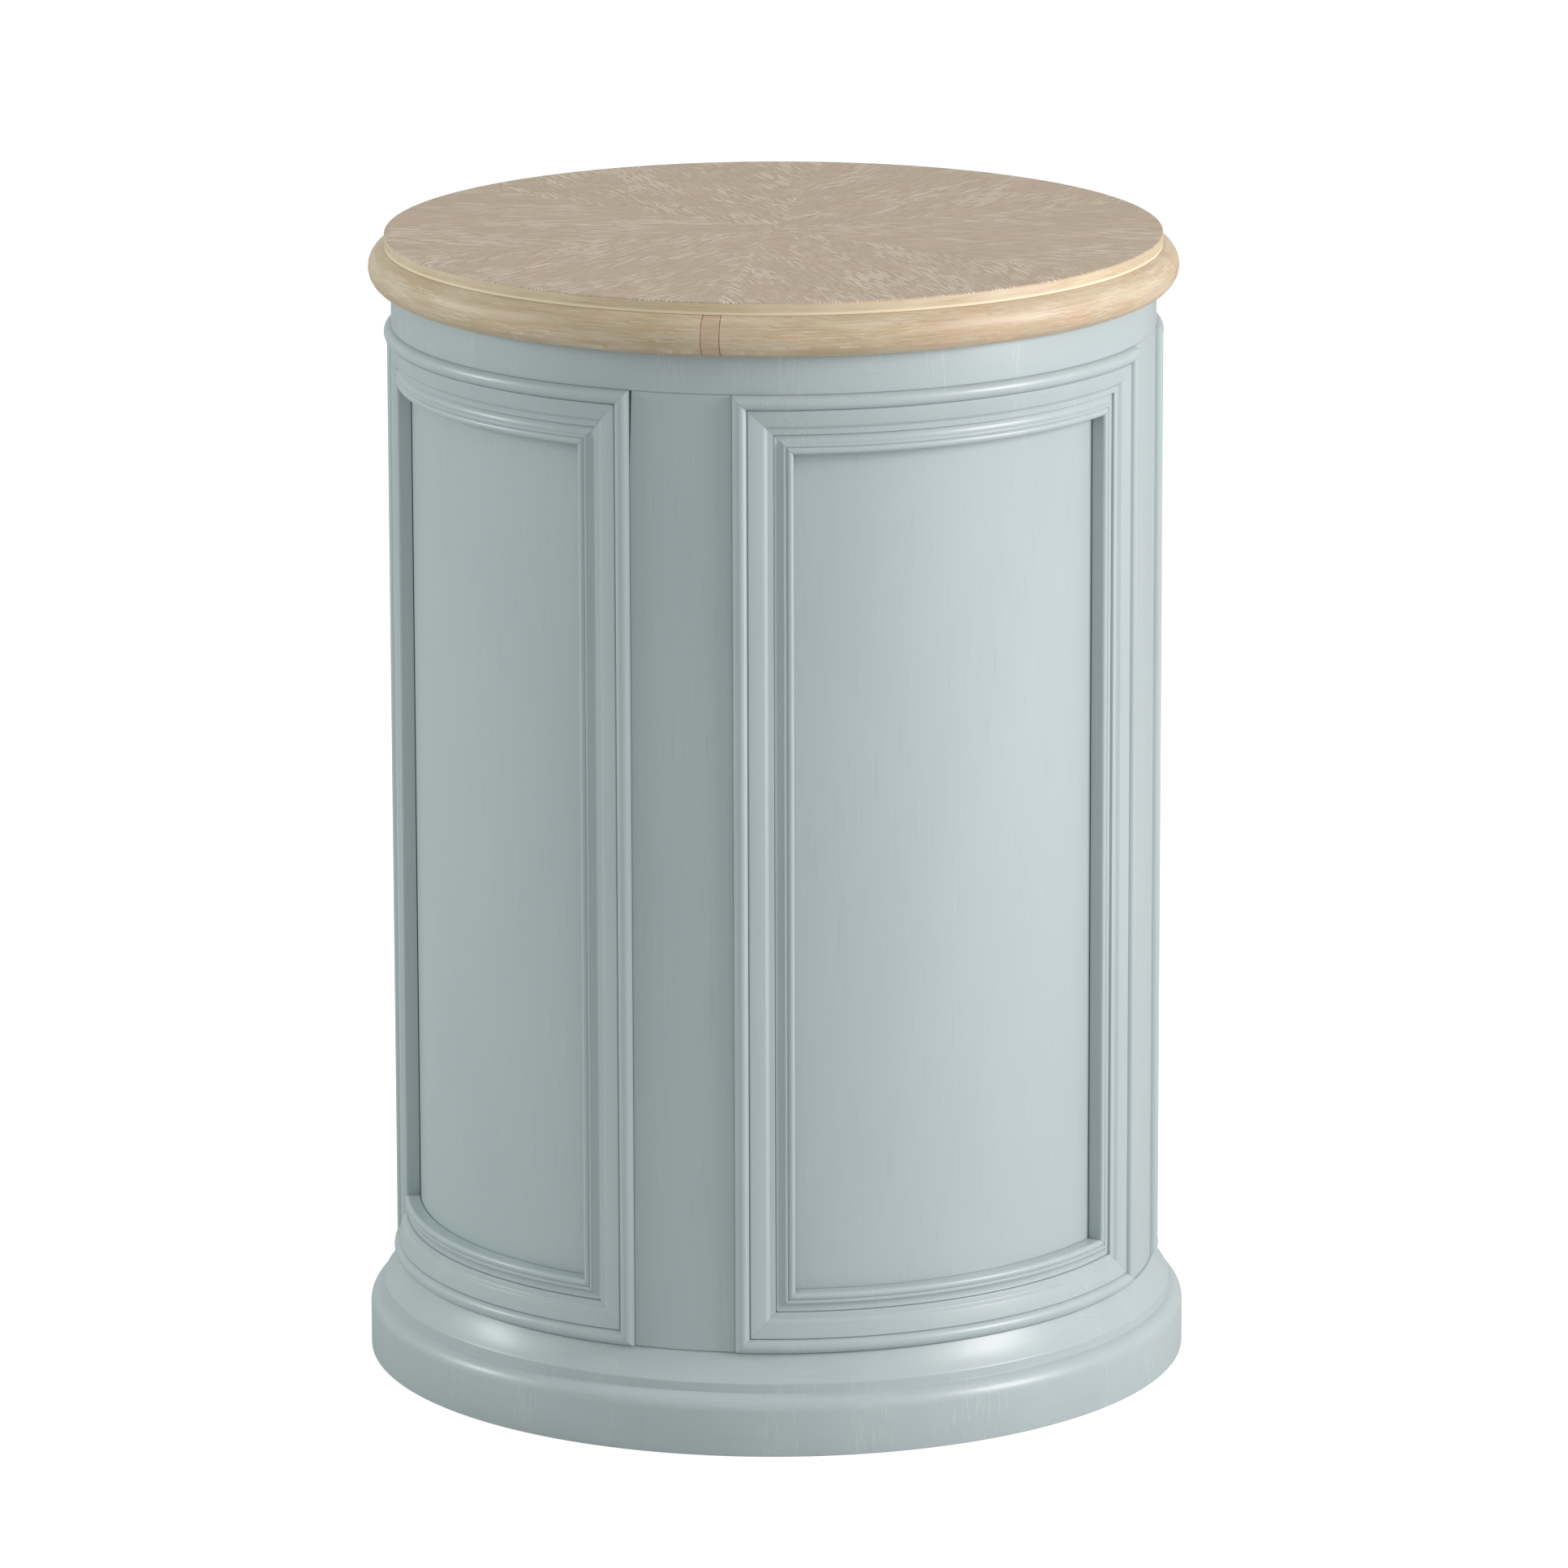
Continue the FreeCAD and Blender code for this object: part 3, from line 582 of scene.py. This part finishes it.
def make_piece(node, shell, finish):
    """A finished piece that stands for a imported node."""
    mesh = bpy.data.meshes.new(f"{node}_finished")
    mesh.from_pydata(shell.points, [], shell.faces)
    mesh.validate()
    mesh.shade_smooth()
    mesh.set_sharp_from_angle(angle=SMOOTH_ANGLE)
    # Each point carries how dark it is: dark joints, and painted shade in creases and under edges.
    carried = mesh.attributes.new("gap", "FLOAT", "POINT")
    carried.data.foreach_set("value", shell.joint_and_painted_shade_marks)
    mesh.materials.append(FINISHES[finish])
    piece = bpy.data.objects.new(f"{node}_finished", mesh)
    bpy.context.scene.collection.objects.link(piece)
    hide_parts(node)
    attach(piece, "root")


def polar(out, degrees, up):
    """A point in metres from its radius, direction and level."""
    turn = math.radians(degrees)
    return (out * math.cos(turn) * MM, out * math.sin(turn) * MM, up * MM)


def place_row(shell, outline, angle, base, gap=0.0):
    """An outline set up at an angle, its marks of dark joint and painted shade at least as dark as the one
    given.
    """
    points = [polar(out, angle, base + up) for out, up, _ in outline]
    return shell.row(points, [max(gap, mark) for _, _, mark in outline])


def turned_arc(shell, outline, start, end, base, joint_ease, joint_gap=0.0, step=TURN_STEP):
    """Turn a section from one angle to another, with its two ends lightly eased."""
    widest = max(out for out, _, _ in outline)
    ease_angle = math.degrees(joint_ease / widest)
    sweep = end - start - 2 * ease_angle
    count = max(2, round(sweep / step))
    shrunk = shrink(outline, joint_ease)
    rows = [place_row(shell, shrunk, start, base, joint_gap)]
    for index in range(count + 1):
        rows.append(place_row(shell, outline, start + ease_angle + sweep * index / count, base))
    rows.append(place_row(shell, shrunk, end, base, joint_gap))
    shell.skin(rows)


def turned_rows(shell, outline, base):
    """An outline set up at every step of a full turn."""
    count = round(FULL_TURN / TURN_STEP)
    return [place_row(shell, outline, FULL_TURN * index / count, base) for index in range(count)]


def turned_ring(shell, outline, base):
    """Turn a closed section all the way round."""
    shell.skin(turned_rows(shell, outline, base), ring=True)


def turned_disc(shell, profile, base):
    """Turn an open profile all the way round, and close it above and below."""
    rows = turned_rows(shell, profile, base)
    shell.skin(rows, ring=True, loop=False)
    shell.faces.append(tuple(row[0] for row in reversed(rows)))
    shell.faces.append(tuple(row[-1] for row in rows))


# --------------------------------------------------------------------- the top

VENEER_EASE = 0.5
VENEER_BORDER = 2.0
LIPPING_WIDTH = 6.0


def build_veneer():
    """Six wedges that meet at the centre."""
    thickness = TABLE_TOP - LIPPING_TOP
    profile = section(
        [
            Corner(TOP_RADIUS, 0),
            Corner(TOP_RADIUS, thickness, ease=VENEER_EASE),
            Corner(TOP_RADIUS - VENEER_BORDER, thickness),
        ],
        closed=False,
    )
    count = round(WEDGE_ANGLE / TURN_STEP)
    shell = Shell()
    for wedge in range(WEDGES):
        start = WEDGE_TURN + WEDGE_ANGLE * wedge
        angles = [start + WEDGE_ANGLE * index / count for index in range(count + 1)]
        rows = [place_row(shell, profile, angle, LIPPING_TOP) for angle in angles]
        shell.skin(rows, capped=False, loop=False)
        under, over = shell.row([polar(0, 0, LIPPING_TOP), polar(0, 0, TABLE_TOP)], [0.0, 0.0])
        for near, far in zip(rows, rows[1:]):
            shell.faces.append((near[0], under, far[0]))
            shell.faces.append((far[-1], over, near[-1]))
        shell.faces.append((under, *rows[0], over))
        shell.faces.append((over, *reversed(rows[-1]), under))
    make_piece("top_veneer", shell, "veneer")


def build_lipping():
    """The thin band of solid oak round the top disc."""
    height = LIPPING_TOP - RIM_TOP
    outline = section(
        [
            Corner(TOP_RADIUS - LIPPING_WIDTH, 0),
            # Painted shadow along the lipping's lower outer edge, over the rim.
            Corner(TOP_RADIUS, 0, ease=0.1, gap=0.55),
            Corner(TOP_RADIUS, height, ease=0.08),
            Corner(TOP_RADIUS - LIPPING_WIDTH, height),
        ]
    )
    shell = Shell()
    turned_ring(shell, outline, RIM_TOP)
    make_piece("top_lipping", shell, "lipping")


RIM_INNER = 196.0
RIM_FOOT_RADIUS = 213.1
RIM_SHOULDER = 214.8
RIM_BULGE = 9.45
RIM_JOINT_GAP = 0.6
SEGMENT_SHOULDER_EASE = 0.7
KEY_SHOULDER_EASE = 1.6


def rim_section(shoulder_ease):
    """The half-round of the rim."""
    height = RIM_TOP - RIM_FOOT
    return section(
        [
            Corner(RIM_INNER, 0),
            Corner(RIM_FOOT_RADIUS, 0, bulge=RIM_BULGE, ease=0.6),
            Corner(RIM_SHOULDER, height, ease=shoulder_ease),
            Corner(RIM_INNER, height),
        ]
    )


def build_rim():
    """Four segments, and the four short keys that close their joints."""
    half_key = math.degrees(RIM_KEY_WIDTH / RIM_SHOULDER) / 2
    joints = [RIM_JOINT + QUARTER_TURN * index for index in range(QUARTERS)]
    outline = rim_section(SEGMENT_SHOULDER_EASE)
    for number, joint in enumerate(joints, start=1):
        shell = Shell()
        start = joint + half_key
        end = joint + QUARTER_TURN - half_key
        turned_arc(shell, outline, start, end, RIM_FOOT, joint_ease=0.5, joint_gap=RIM_JOINT_GAP)
        make_piece(f"rim_segment_{number}", shell, "rim")
    outline = rim_section(KEY_SHOULDER_EASE)
    shell = Shell()
    for joint in joints:
        start = joint - half_key
        end = joint + half_key
        turned_arc(shell, outline, start, end, RIM_FOOT, joint_ease=0.3, joint_gap=RIM_JOINT_GAP)
    make_piece("rim_keys", shell, "key")


# -------------------------------------------------------------------- the drum

BOARD_BORDER = 4.0


def build_top_board():
    """The painted board whose edge shows as a plain band under the rim."""
    height = RIM_FOOT - BOARD_FOOT
    profile = section(
        [
            Corner(DRUM_RADIUS - BOARD_BORDER, 0),
            # A dark seam with painted shade along the board's lower edge, over the stiles.
            Corner(DRUM_RADIUS, 0, ease=0.5, gap=0.15),
            Corner(DRUM_RADIUS, height, ease=0.3),
            Corner(DRUM_RADIUS - BOARD_BORDER, height),
        ],
        closed=False,
    )
    shell = Shell()
    turned_disc(shell, profile, BOARD_FOOT)
    make_piece("top_board", shell, "paint_round")


STILE_EASE = 0.5
STILE_FACE_STEPS = 12
# The stiles' eased edges are darkened: a dark joint with painted shade in the crevice by the mouldings.
STILE_EDGE_JOINT_AND_SHADE = 0.7
STILE_BEND_JOINT_AND_SHADE = 0.25
STILE_BEND = 0.3
CRACKED_STILE = "front_left"
CRACK_WIDTH = 1.2
CRACK_LENGTH = 42.0
CRACK_STEPS = 12


def build_stiles():
    """Four plain stiles; shrinkage has opened the top of one of them."""
    levels = [DRUM_FOOT, DRUM_FOOT + STILE_EASE]
    levels += [BOARD_FOOT - CRACK_LENGTH * (1 - index / CRACK_STEPS) for index in range(CRACK_STEPS)]
    levels += [BOARD_FOOT - STILE_EASE, BOARD_FOOT]
    for name, middle in CORNERS.items():
        shell = Shell()
        shell.skin([stile_row(shell, middle, up, crack_width(name, up)) for up in levels])
        make_piece(f"stile_{name}", shell, "paint_upright")


def crack_width(name, up):
    """How far the joint beside a stile is open at a level."""
    if name != CRACKED_STILE:
        return 0.0
    return CRACK_WIDTH * max(0.0, 1 - (BOARD_FOOT - up) / CRACK_LENGTH)


def stile_row(shell, middle, up, crack):
    """One level of a stile: its back, and its face with two eased edges."""
    at_end = up in (DRUM_FOOT, BOARD_FOOT)
    ease = 2 * STILE_EASE if at_end else STILE_EASE
    face = DRUM_RADIUS - STILE_EASE if at_end else DRUM_RADIUS
    ease_angle = drum_angle(ease)
    low = middle - STILE_HALF_ANGLE
    high = middle + STILE_HALF_ANGLE
    edge = low + drum_angle(crack)
    # The edge points take the darkening of a joint with painted shade beside the mouldings.
    spots = [
        (HOLLOW_RADIUS, edge, 0.0),
        (face - ease, edge, STILE_EDGE_JOINT_AND_SHADE),
        (face - ease * STILE_BEND, edge + ease_angle * STILE_BEND, STILE_BEND_JOINT_AND_SHADE),
        (face, edge + ease_angle, 0.0),
    ]
    for index in range(1, STILE_FACE_STEPS):
        spots.append((face, low + (high - low) * index / STILE_FACE_STEPS, 0.0))
    spots += [
        (face, high - ease_angle, 0.0),
        (face - ease * STILE_BEND, high - ease_angle * STILE_BEND, STILE_BEND_JOINT_AND_SHADE),
        (face - ease, high, STILE_EDGE_JOINT_AND_SHADE),
        (HOLLOW_RADIUS, high, 0.0),
    ]
    points = [polar(out, angle, up) for out, angle, _ in spots]
    return shell.row(points, [mark for _, _, mark in spots])


PANEL_RECESS = -11.0
PANEL_FACE = DRUM_RADIUS + PANEL_RECESS


def build_panels():
    """Four curved panels, set back behind their mouldings."""
    outline = section(
        [
            Corner(HOLLOW_RADIUS, 0),
            Corner(PANEL_FACE, 0),
            Corner(PANEL_FACE, DRUM_HEIGHT),
            Corner(HOLLOW_RADIUS, DRUM_HEIGHT),
        ]
    )
    for name, middle in SIDES.items():
        shell = Shell()
        start = middle - BAY_HALF_ANGLE
        end = middle + BAY_HALF_ANGLE
        turned_arc(shell, outline, start, end, DRUM_FOOT, joint_ease=0.1, step=PANEL_STEP)
        make_piece(f"panel_{name}", shell, "paint_upright")


# --------------------------------------------------------------- the mouldings

# In a moulding's section, out is the distance inwards from its outer edge, and up is
# how high it stands above the drum's face.
BEAD_WIDTH = 8.0
BEAD_FOOT = 0.6
BEAD_BULGE = 3.5
FLAT_AT = 8.6
FLAT_HIGH = 1.6
SCOTIA_AT = 17.0
FLAT_LOW = -0.5
SCOTIA_STEP_AT = 18.7
SCOTIA_HIGH = -2.3
OUTER_WIDTH = 22.0
SCOTIA_LOW = -2.6

OUTER_CORNERS = [
    Corner(0, BEAD_FOOT, bulge=-BEAD_BULGE),
    Corner(BEAD_WIDTH, BEAD_FOOT),
    Corner(FLAT_AT, FLAT_HIGH, ease=0.3),
    Corner(SCOTIA_AT, FLAT_LOW, ease=0.2),
    Corner(SCOTIA_STEP_AT, SCOTIA_HIGH, ease=0.4),
    Corner(OUTER_WIDTH, SCOTIA_LOW, ease=0.3),
    Corner(OUTER_WIDTH, PANEL_RECESS),
    Corner(0, PANEL_RECESS),
]

# The wood leaves MOULDING_GAP between the two mouldings; paint fills PAINTED_JOINT of it.
MOULDING_GAP = 0.6
PAINTED_JOINT = 0.45
INNER_INSET = OUTER_WIDTH + MOULDING_GAP
JOINT_FOOT = -4.3
COVE_FOOT = -4.0
COVE_WIDTH = 4.7
COVE_BULGE = 0.9
STEP_HEIGHT = -2.5
STEP_END = 5.9
GROOVE_AT = 6.35
GROOVE_FOOT = -3.2
LIP_AT = 6.8
LIP_HEIGHT = -2.7
LIP_BULGE = 1.2
LIP_FOOT = -4.3
# Painted shade along the foot of the lip, used on the top inner rails only.
LIP_PAINTED_SHADE = 0.5
INNER_WIDTH = 10.4
MITRE_EASE = 0.1
INNER_MITRE_GAP = 0.7


def inner_corners(lip_painted_shade):
    """Cove, step, groove and lip bead; the given amount is painted shade along the foot of the lip."""
    return [
        Corner(-PAINTED_JOINT, PANEL_RECESS),
        # A dark joint with painted shade at the foot of the joint between the mouldings.
        Corner(-PAINTED_JOINT, JOINT_FOOT, gap=0.3),
        Corner(0, COVE_FOOT, bulge=COVE_BULGE),
        Corner(COVE_WIDTH, STEP_HEIGHT, ease=0.25),
        Corner(STEP_END, STEP_HEIGHT, ease=0.2),
        Corner(GROOVE_AT, GROOVE_FOOT),
        Corner(LIP_AT, LIP_HEIGHT, bulge=-LIP_BULGE),
        # Painted shade along the lip's foot, for the top rails.
        Corner(INNER_WIDTH, LIP_FOOT, ease=0.15, gap=lip_painted_shade),
        # Painted shade in the crease where the lip meets the panel.
        Corner(INNER_WIDTH, PANEL_RECESS, ease=0.4, gap=1.0),
    ]


def moulding_leg(outline, inset, middle, hand, mitre_gap):
    """An upright leg; hand is 1 on the counter-clockwise side of its panel."""
    shell = Shell()

    def row(marks, at_top, trim, gap=None):
        points = []
        for inward, up, _ in marks:
            edge = inset + inward
            angle = middle + hand * (BAY_HALF_ANGLE - drum_angle(edge))
            height = BOARD_FOOT - edge - trim if at_top else DRUM_FOOT + edge + trim
            points.append(polar(DRUM_RADIUS + up, angle, height))
        return shell.row(points, [mark if gap is None else gap for _, _, mark in marks])

    shrunk = shrink(outline, MITRE_EASE)
    rows = [
        row(shrunk, False, 0.0, mitre_gap),
        row(outline, False, MITRE_EASE),
        row(outline, True, MITRE_EASE),
        row(shrunk, True, 0.0, mitre_gap),
    ]
    shell.skin(rows)
    return shell


def moulding_rail(outline, inset, middle, upward, mitre_gap):
    """A curved rail; upward is 1 at the bottom of its panel and -1 at the top."""
    shell = Shell()
    base = DRUM_FOOT if upward > 0 else BOARD_FOOT
    count = round(2 * BAY_HALF_ANGLE / TURN_STEP)

    def row(marks, share, trim, gap=None):
        points = []
        for inward, up, _ in marks:
            edge = inset + inward
            reach = BAY_HALF_ANGLE - drum_angle(edge + trim)
            angle = middle - reach + 2 * reach * share
            points.append(polar(DRUM_RADIUS + up, angle, base + upward * edge))
        return shell.row(points, [mark if gap is None else gap for _, _, mark in marks])

    shrunk = shrink(outline, MITRE_EASE)
    rows = [row(shrunk, 0.0, 0.0, mitre_gap)]
    rows += [row(outline, index / count, MITRE_EASE) for index in range(count + 1)]
    rows += [row(shrunk, 1.0, 0.0, mitre_gap)]
    shell.skin(rows)
    return shell


def build_frame(kind, name, outline, top_outline, inset, mitre_gap):
    """The two legs and two rails of one kind of moulding round one panel."""
    middle = SIDES[name]
    for side, hand in (("left", -1), ("right", 1)):
        leg = moulding_leg(outline, inset, middle, hand, mitre_gap)
        make_piece(f"{kind}_leg_{name}_{side}", leg, "paint_upright")
    for side, upward, across in (("bottom", 1, outline), ("top", -1, top_outline)):
        rail = moulding_rail(across, inset, middle, upward, mitre_gap)
        make_piece(f"{kind}_rail_{name}_{side}", rail, "paint_round")


def build_mouldings():
    """An outer and an inner moulding round each panel; the top inner rails carry painted shade along the
    foot of their lip.
    """
    outer = section(OUTER_CORNERS)
    inner = section(inner_corners(0.0))
    painted_shade_section = section(inner_corners(LIP_PAINTED_SHADE))
    for name in SIDES:
        build_frame("outer", name, outer, outer, 0.0, 0.0)
        # The top inner rails take the section with painted shade on the lip.
        build_frame("inner", name, inner, painted_shade_section, INNER_INSET, INNER_MITRE_GAP)


# ------------------------------------------------------------------ the plinth

PLINTH_INNER = 178.0
BAND_TOP = 24.6
SHOULDER_BULGE = 2.15
SHOULDER_TOP = 33.5
FILLET_INSET = 7.7
FILLET_TOP = 38.8
HOLLOW_DEPTH = 0.7
HOLLOW_INSET = 16.8

PLINTH_CORNERS = [
    Corner(PLINTH_INNER, 0),
    Corner(PLINTH_RADIUS, 0, ease=0.8),
    Corner(PLINTH_RADIUS, BAND_TOP, bulge=SHOULDER_BULGE),
    Corner(PLINTH_RADIUS - FILLET_INSET, SHOULDER_TOP, ease=0.3),
    Corner(PLINTH_RADIUS - FILLET_INSET, FILLET_TOP, bulge=-HOLLOW_DEPTH, ease=0.5),
    # Painted shade in the crease where the drum stands on the plinth.
    Corner(PLINTH_RADIUS - HOLLOW_INSET, DRUM_FOOT, ease=0.4, gap=0.2),
    Corner(PLINTH_INNER, DRUM_FOOT),
]


def build_plinth():
    """Four turned segments, whose joints are filled and painted."""
    outline = section(PLINTH_CORNERS)
    for index in range(QUARTERS):
        shell = Shell()
        start = PLINTH_JOINT + QUARTER_TURN * index
        turned_arc(shell, outline, start, start + QUARTER_TURN, base=0.0, joint_ease=0.05)
        make_piece(f"plinth_segment_{index + 1}", shell, "paint_round")


# --------------------------------------------------------------- hidden boards

KEPT_NODES = {
    "top_disc": "core",
    "top_core": "core",
    "former_upper": "plywood",
    "former_middle": "plywood",
    "former_lower": "plywood",
    "base_board": "plywood",
    "top_screws": "zinc",
    "base_screws": "zinc",
}


def finish_kept_nodes():
    """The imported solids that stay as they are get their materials."""
    for node, finish in KEPT_NODES.items():
        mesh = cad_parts[node].data
        mesh.materials.clear()
        mesh.materials.append(FINISHES[finish])


# ------------------------------------------------- camera, light, world, floor

# Distances and heights here are metres; the lens and its sensor are millimetres.
CAMERA_DISTANCE = 5.476
CAMERA_HEIGHT = 1.644
CAMERA_AZIMUTH = -31.2
CAMERA_PITCH = 13.5835
CAMERA_YAW = 0.052
CAMERA_ROLL = -0.155
LENS = 231.9
SENSOR_WIDTH = 36.0
VIEW_REACH = 50.0
LAMP_AIM = 0.32
WORLD_TINT = (0.97, 1.0, 1.0)
WORLD_STRENGTH = 0.585
FLOOR_REACH = 6.0
FLOOR_DROP = 0.0002
FLOOR_GREY = (0.6, 0.6, 0.6)
FLOOR_GLOW = 0.7
BLACK = (0.0, 0.0, 0.0)
WHITE = (1.0, 1.0, 1.0)


def standpoint(azimuth, distance, height):
    """A place in metres round the table; its azimuth is in degrees to the right of the front."""
    turn = math.radians(azimuth)
    return (distance * math.sin(turn), -distance * math.cos(turn), height)


def make_camera():
    """A long lens, a little above the top."""
    data = bpy.data.cameras.new("camera")
    data.lens = LENS
    data.sensor_width = SENSOR_WIDTH
    data.clip_end = VIEW_REACH
    camera = bpy.data.objects.new("camera", data)
    camera.location = standpoint(CAMERA_AZIMUTH, CAMERA_DISTANCE, CAMERA_HEIGHT)
    facing = Matrix.Rotation(math.radians(CAMERA_AZIMUTH - CAMERA_YAW), 3, "Z")
    tilt = Matrix.Rotation(math.radians(90 - CAMERA_PITCH), 3, "X")
    roll = Matrix.Rotation(math.radians(CAMERA_ROLL), 3, "Z")
    camera.rotation_euler = (facing @ tilt @ roll).to_euler()
    bpy.context.scene.collection.objects.link(camera)
    bpy.context.scene.camera = camera


def area_light(name, bearing, distance, height, size, power, tint):
    """A soft lamp; its bearing is in degrees to the right of the camera's side."""
    data = bpy.data.lights.new(name, "AREA")
    data.shape = "RECTANGLE"
    data.size, data.size_y = size
    data.energy = power
    data.color = tint
    lamp = bpy.data.objects.new(name, data)
    lamp.location = standpoint(CAMERA_AZIMUTH + bearing, distance, height)
    way = Vector((0, 0, LAMP_AIM)) - lamp.location
    lamp.rotation_euler = way.to_track_quat("-Z", "Y").to_euler()
    bpy.context.scene.collection.objects.link(lamp)


def make_lights():
    """A key lamp on the right and a weaker one on the left."""
    area_light(
        "key_lamp",
        bearing=68,
        distance=2.40,
        height=1.20,
        size=(0.8, 1.1),
        power=45.5,
        tint=(1.0, 0.935, 0.955),
    )
    area_light(
        "left_lamp",
        bearing=-93,
        distance=2.45,
        height=1.15,
        size=(0.5, 0.7),
        power=18.5,
        tint=(0.97, 1.0, 1.0),
    )


def make_world():
    """White behind the table; a plain soft grey for its light."""
    world = bpy.data.worlds.new("studio")
    bpy.context.scene.world = world
    world.use_nodes = True
    world.node_tree.nodes.clear()
    nodes = Nodes(world.node_tree)
    camera_rays = nodes.add("ShaderNodeLightPath", out="Is Camera Ray")
    seen = nodes.math("MAXIMUM", camera_rays, camera_rays.twin("Is Transmission Ray"))
    white = nodes.add("ShaderNodeBackground", None, {"Color": WHITE})
    soft = nodes.add("ShaderNodeBackground", None, {"Color": WORLD_TINT, "Strength": WORLD_STRENGTH})
    mixed = nodes.add("ShaderNodeMixShader", None, {0: seen, 1: soft, 2: white})
    nodes.add("ShaderNodeOutputWorld", None, {"Surface": mixed})


def make_floor():
    """A pale floor that shows white to the camera and keeps the table's shadow."""
    mesh = bpy.data.meshes.new("floor")
    corners = [
        (-FLOOR_REACH, -FLOOR_REACH, -FLOOR_DROP),
        (FLOOR_REACH, -FLOOR_REACH, -FLOOR_DROP),
        (FLOOR_REACH, FLOOR_REACH, -FLOOR_DROP),
        (-FLOOR_REACH, FLOOR_REACH, -FLOOR_DROP),
    ]
    mesh.from_pydata(corners, [], [(0, 1, 2, 3)])
    finish = Finish("pale_floor", Roughness=0.9, Specular_IOR_Level=0.0, Emission_Strength=FLOOR_GLOW)
    camera_rays = finish.add("ShaderNodeLightPath", out="Is Camera Ray")
    finish.feed(finish.shader.inputs["Emission Color"], finish.mix(camera_rays, BLACK, WHITE))
    mesh.materials.append(finish.end(FLOOR_GREY))
    floor = bpy.data.objects.new("floor", mesh)
    bpy.context.scene.collection.objects.link(floor)


build_veneer()
build_lipping()
build_rim()
build_top_board()
build_stiles()
build_panels()
build_mouldings()
build_plinth()
finish_kept_nodes()
make_camera()
make_lights()
make_world()
make_floor()
bpy.context.scene.view_settings.view_transform = "Standard"
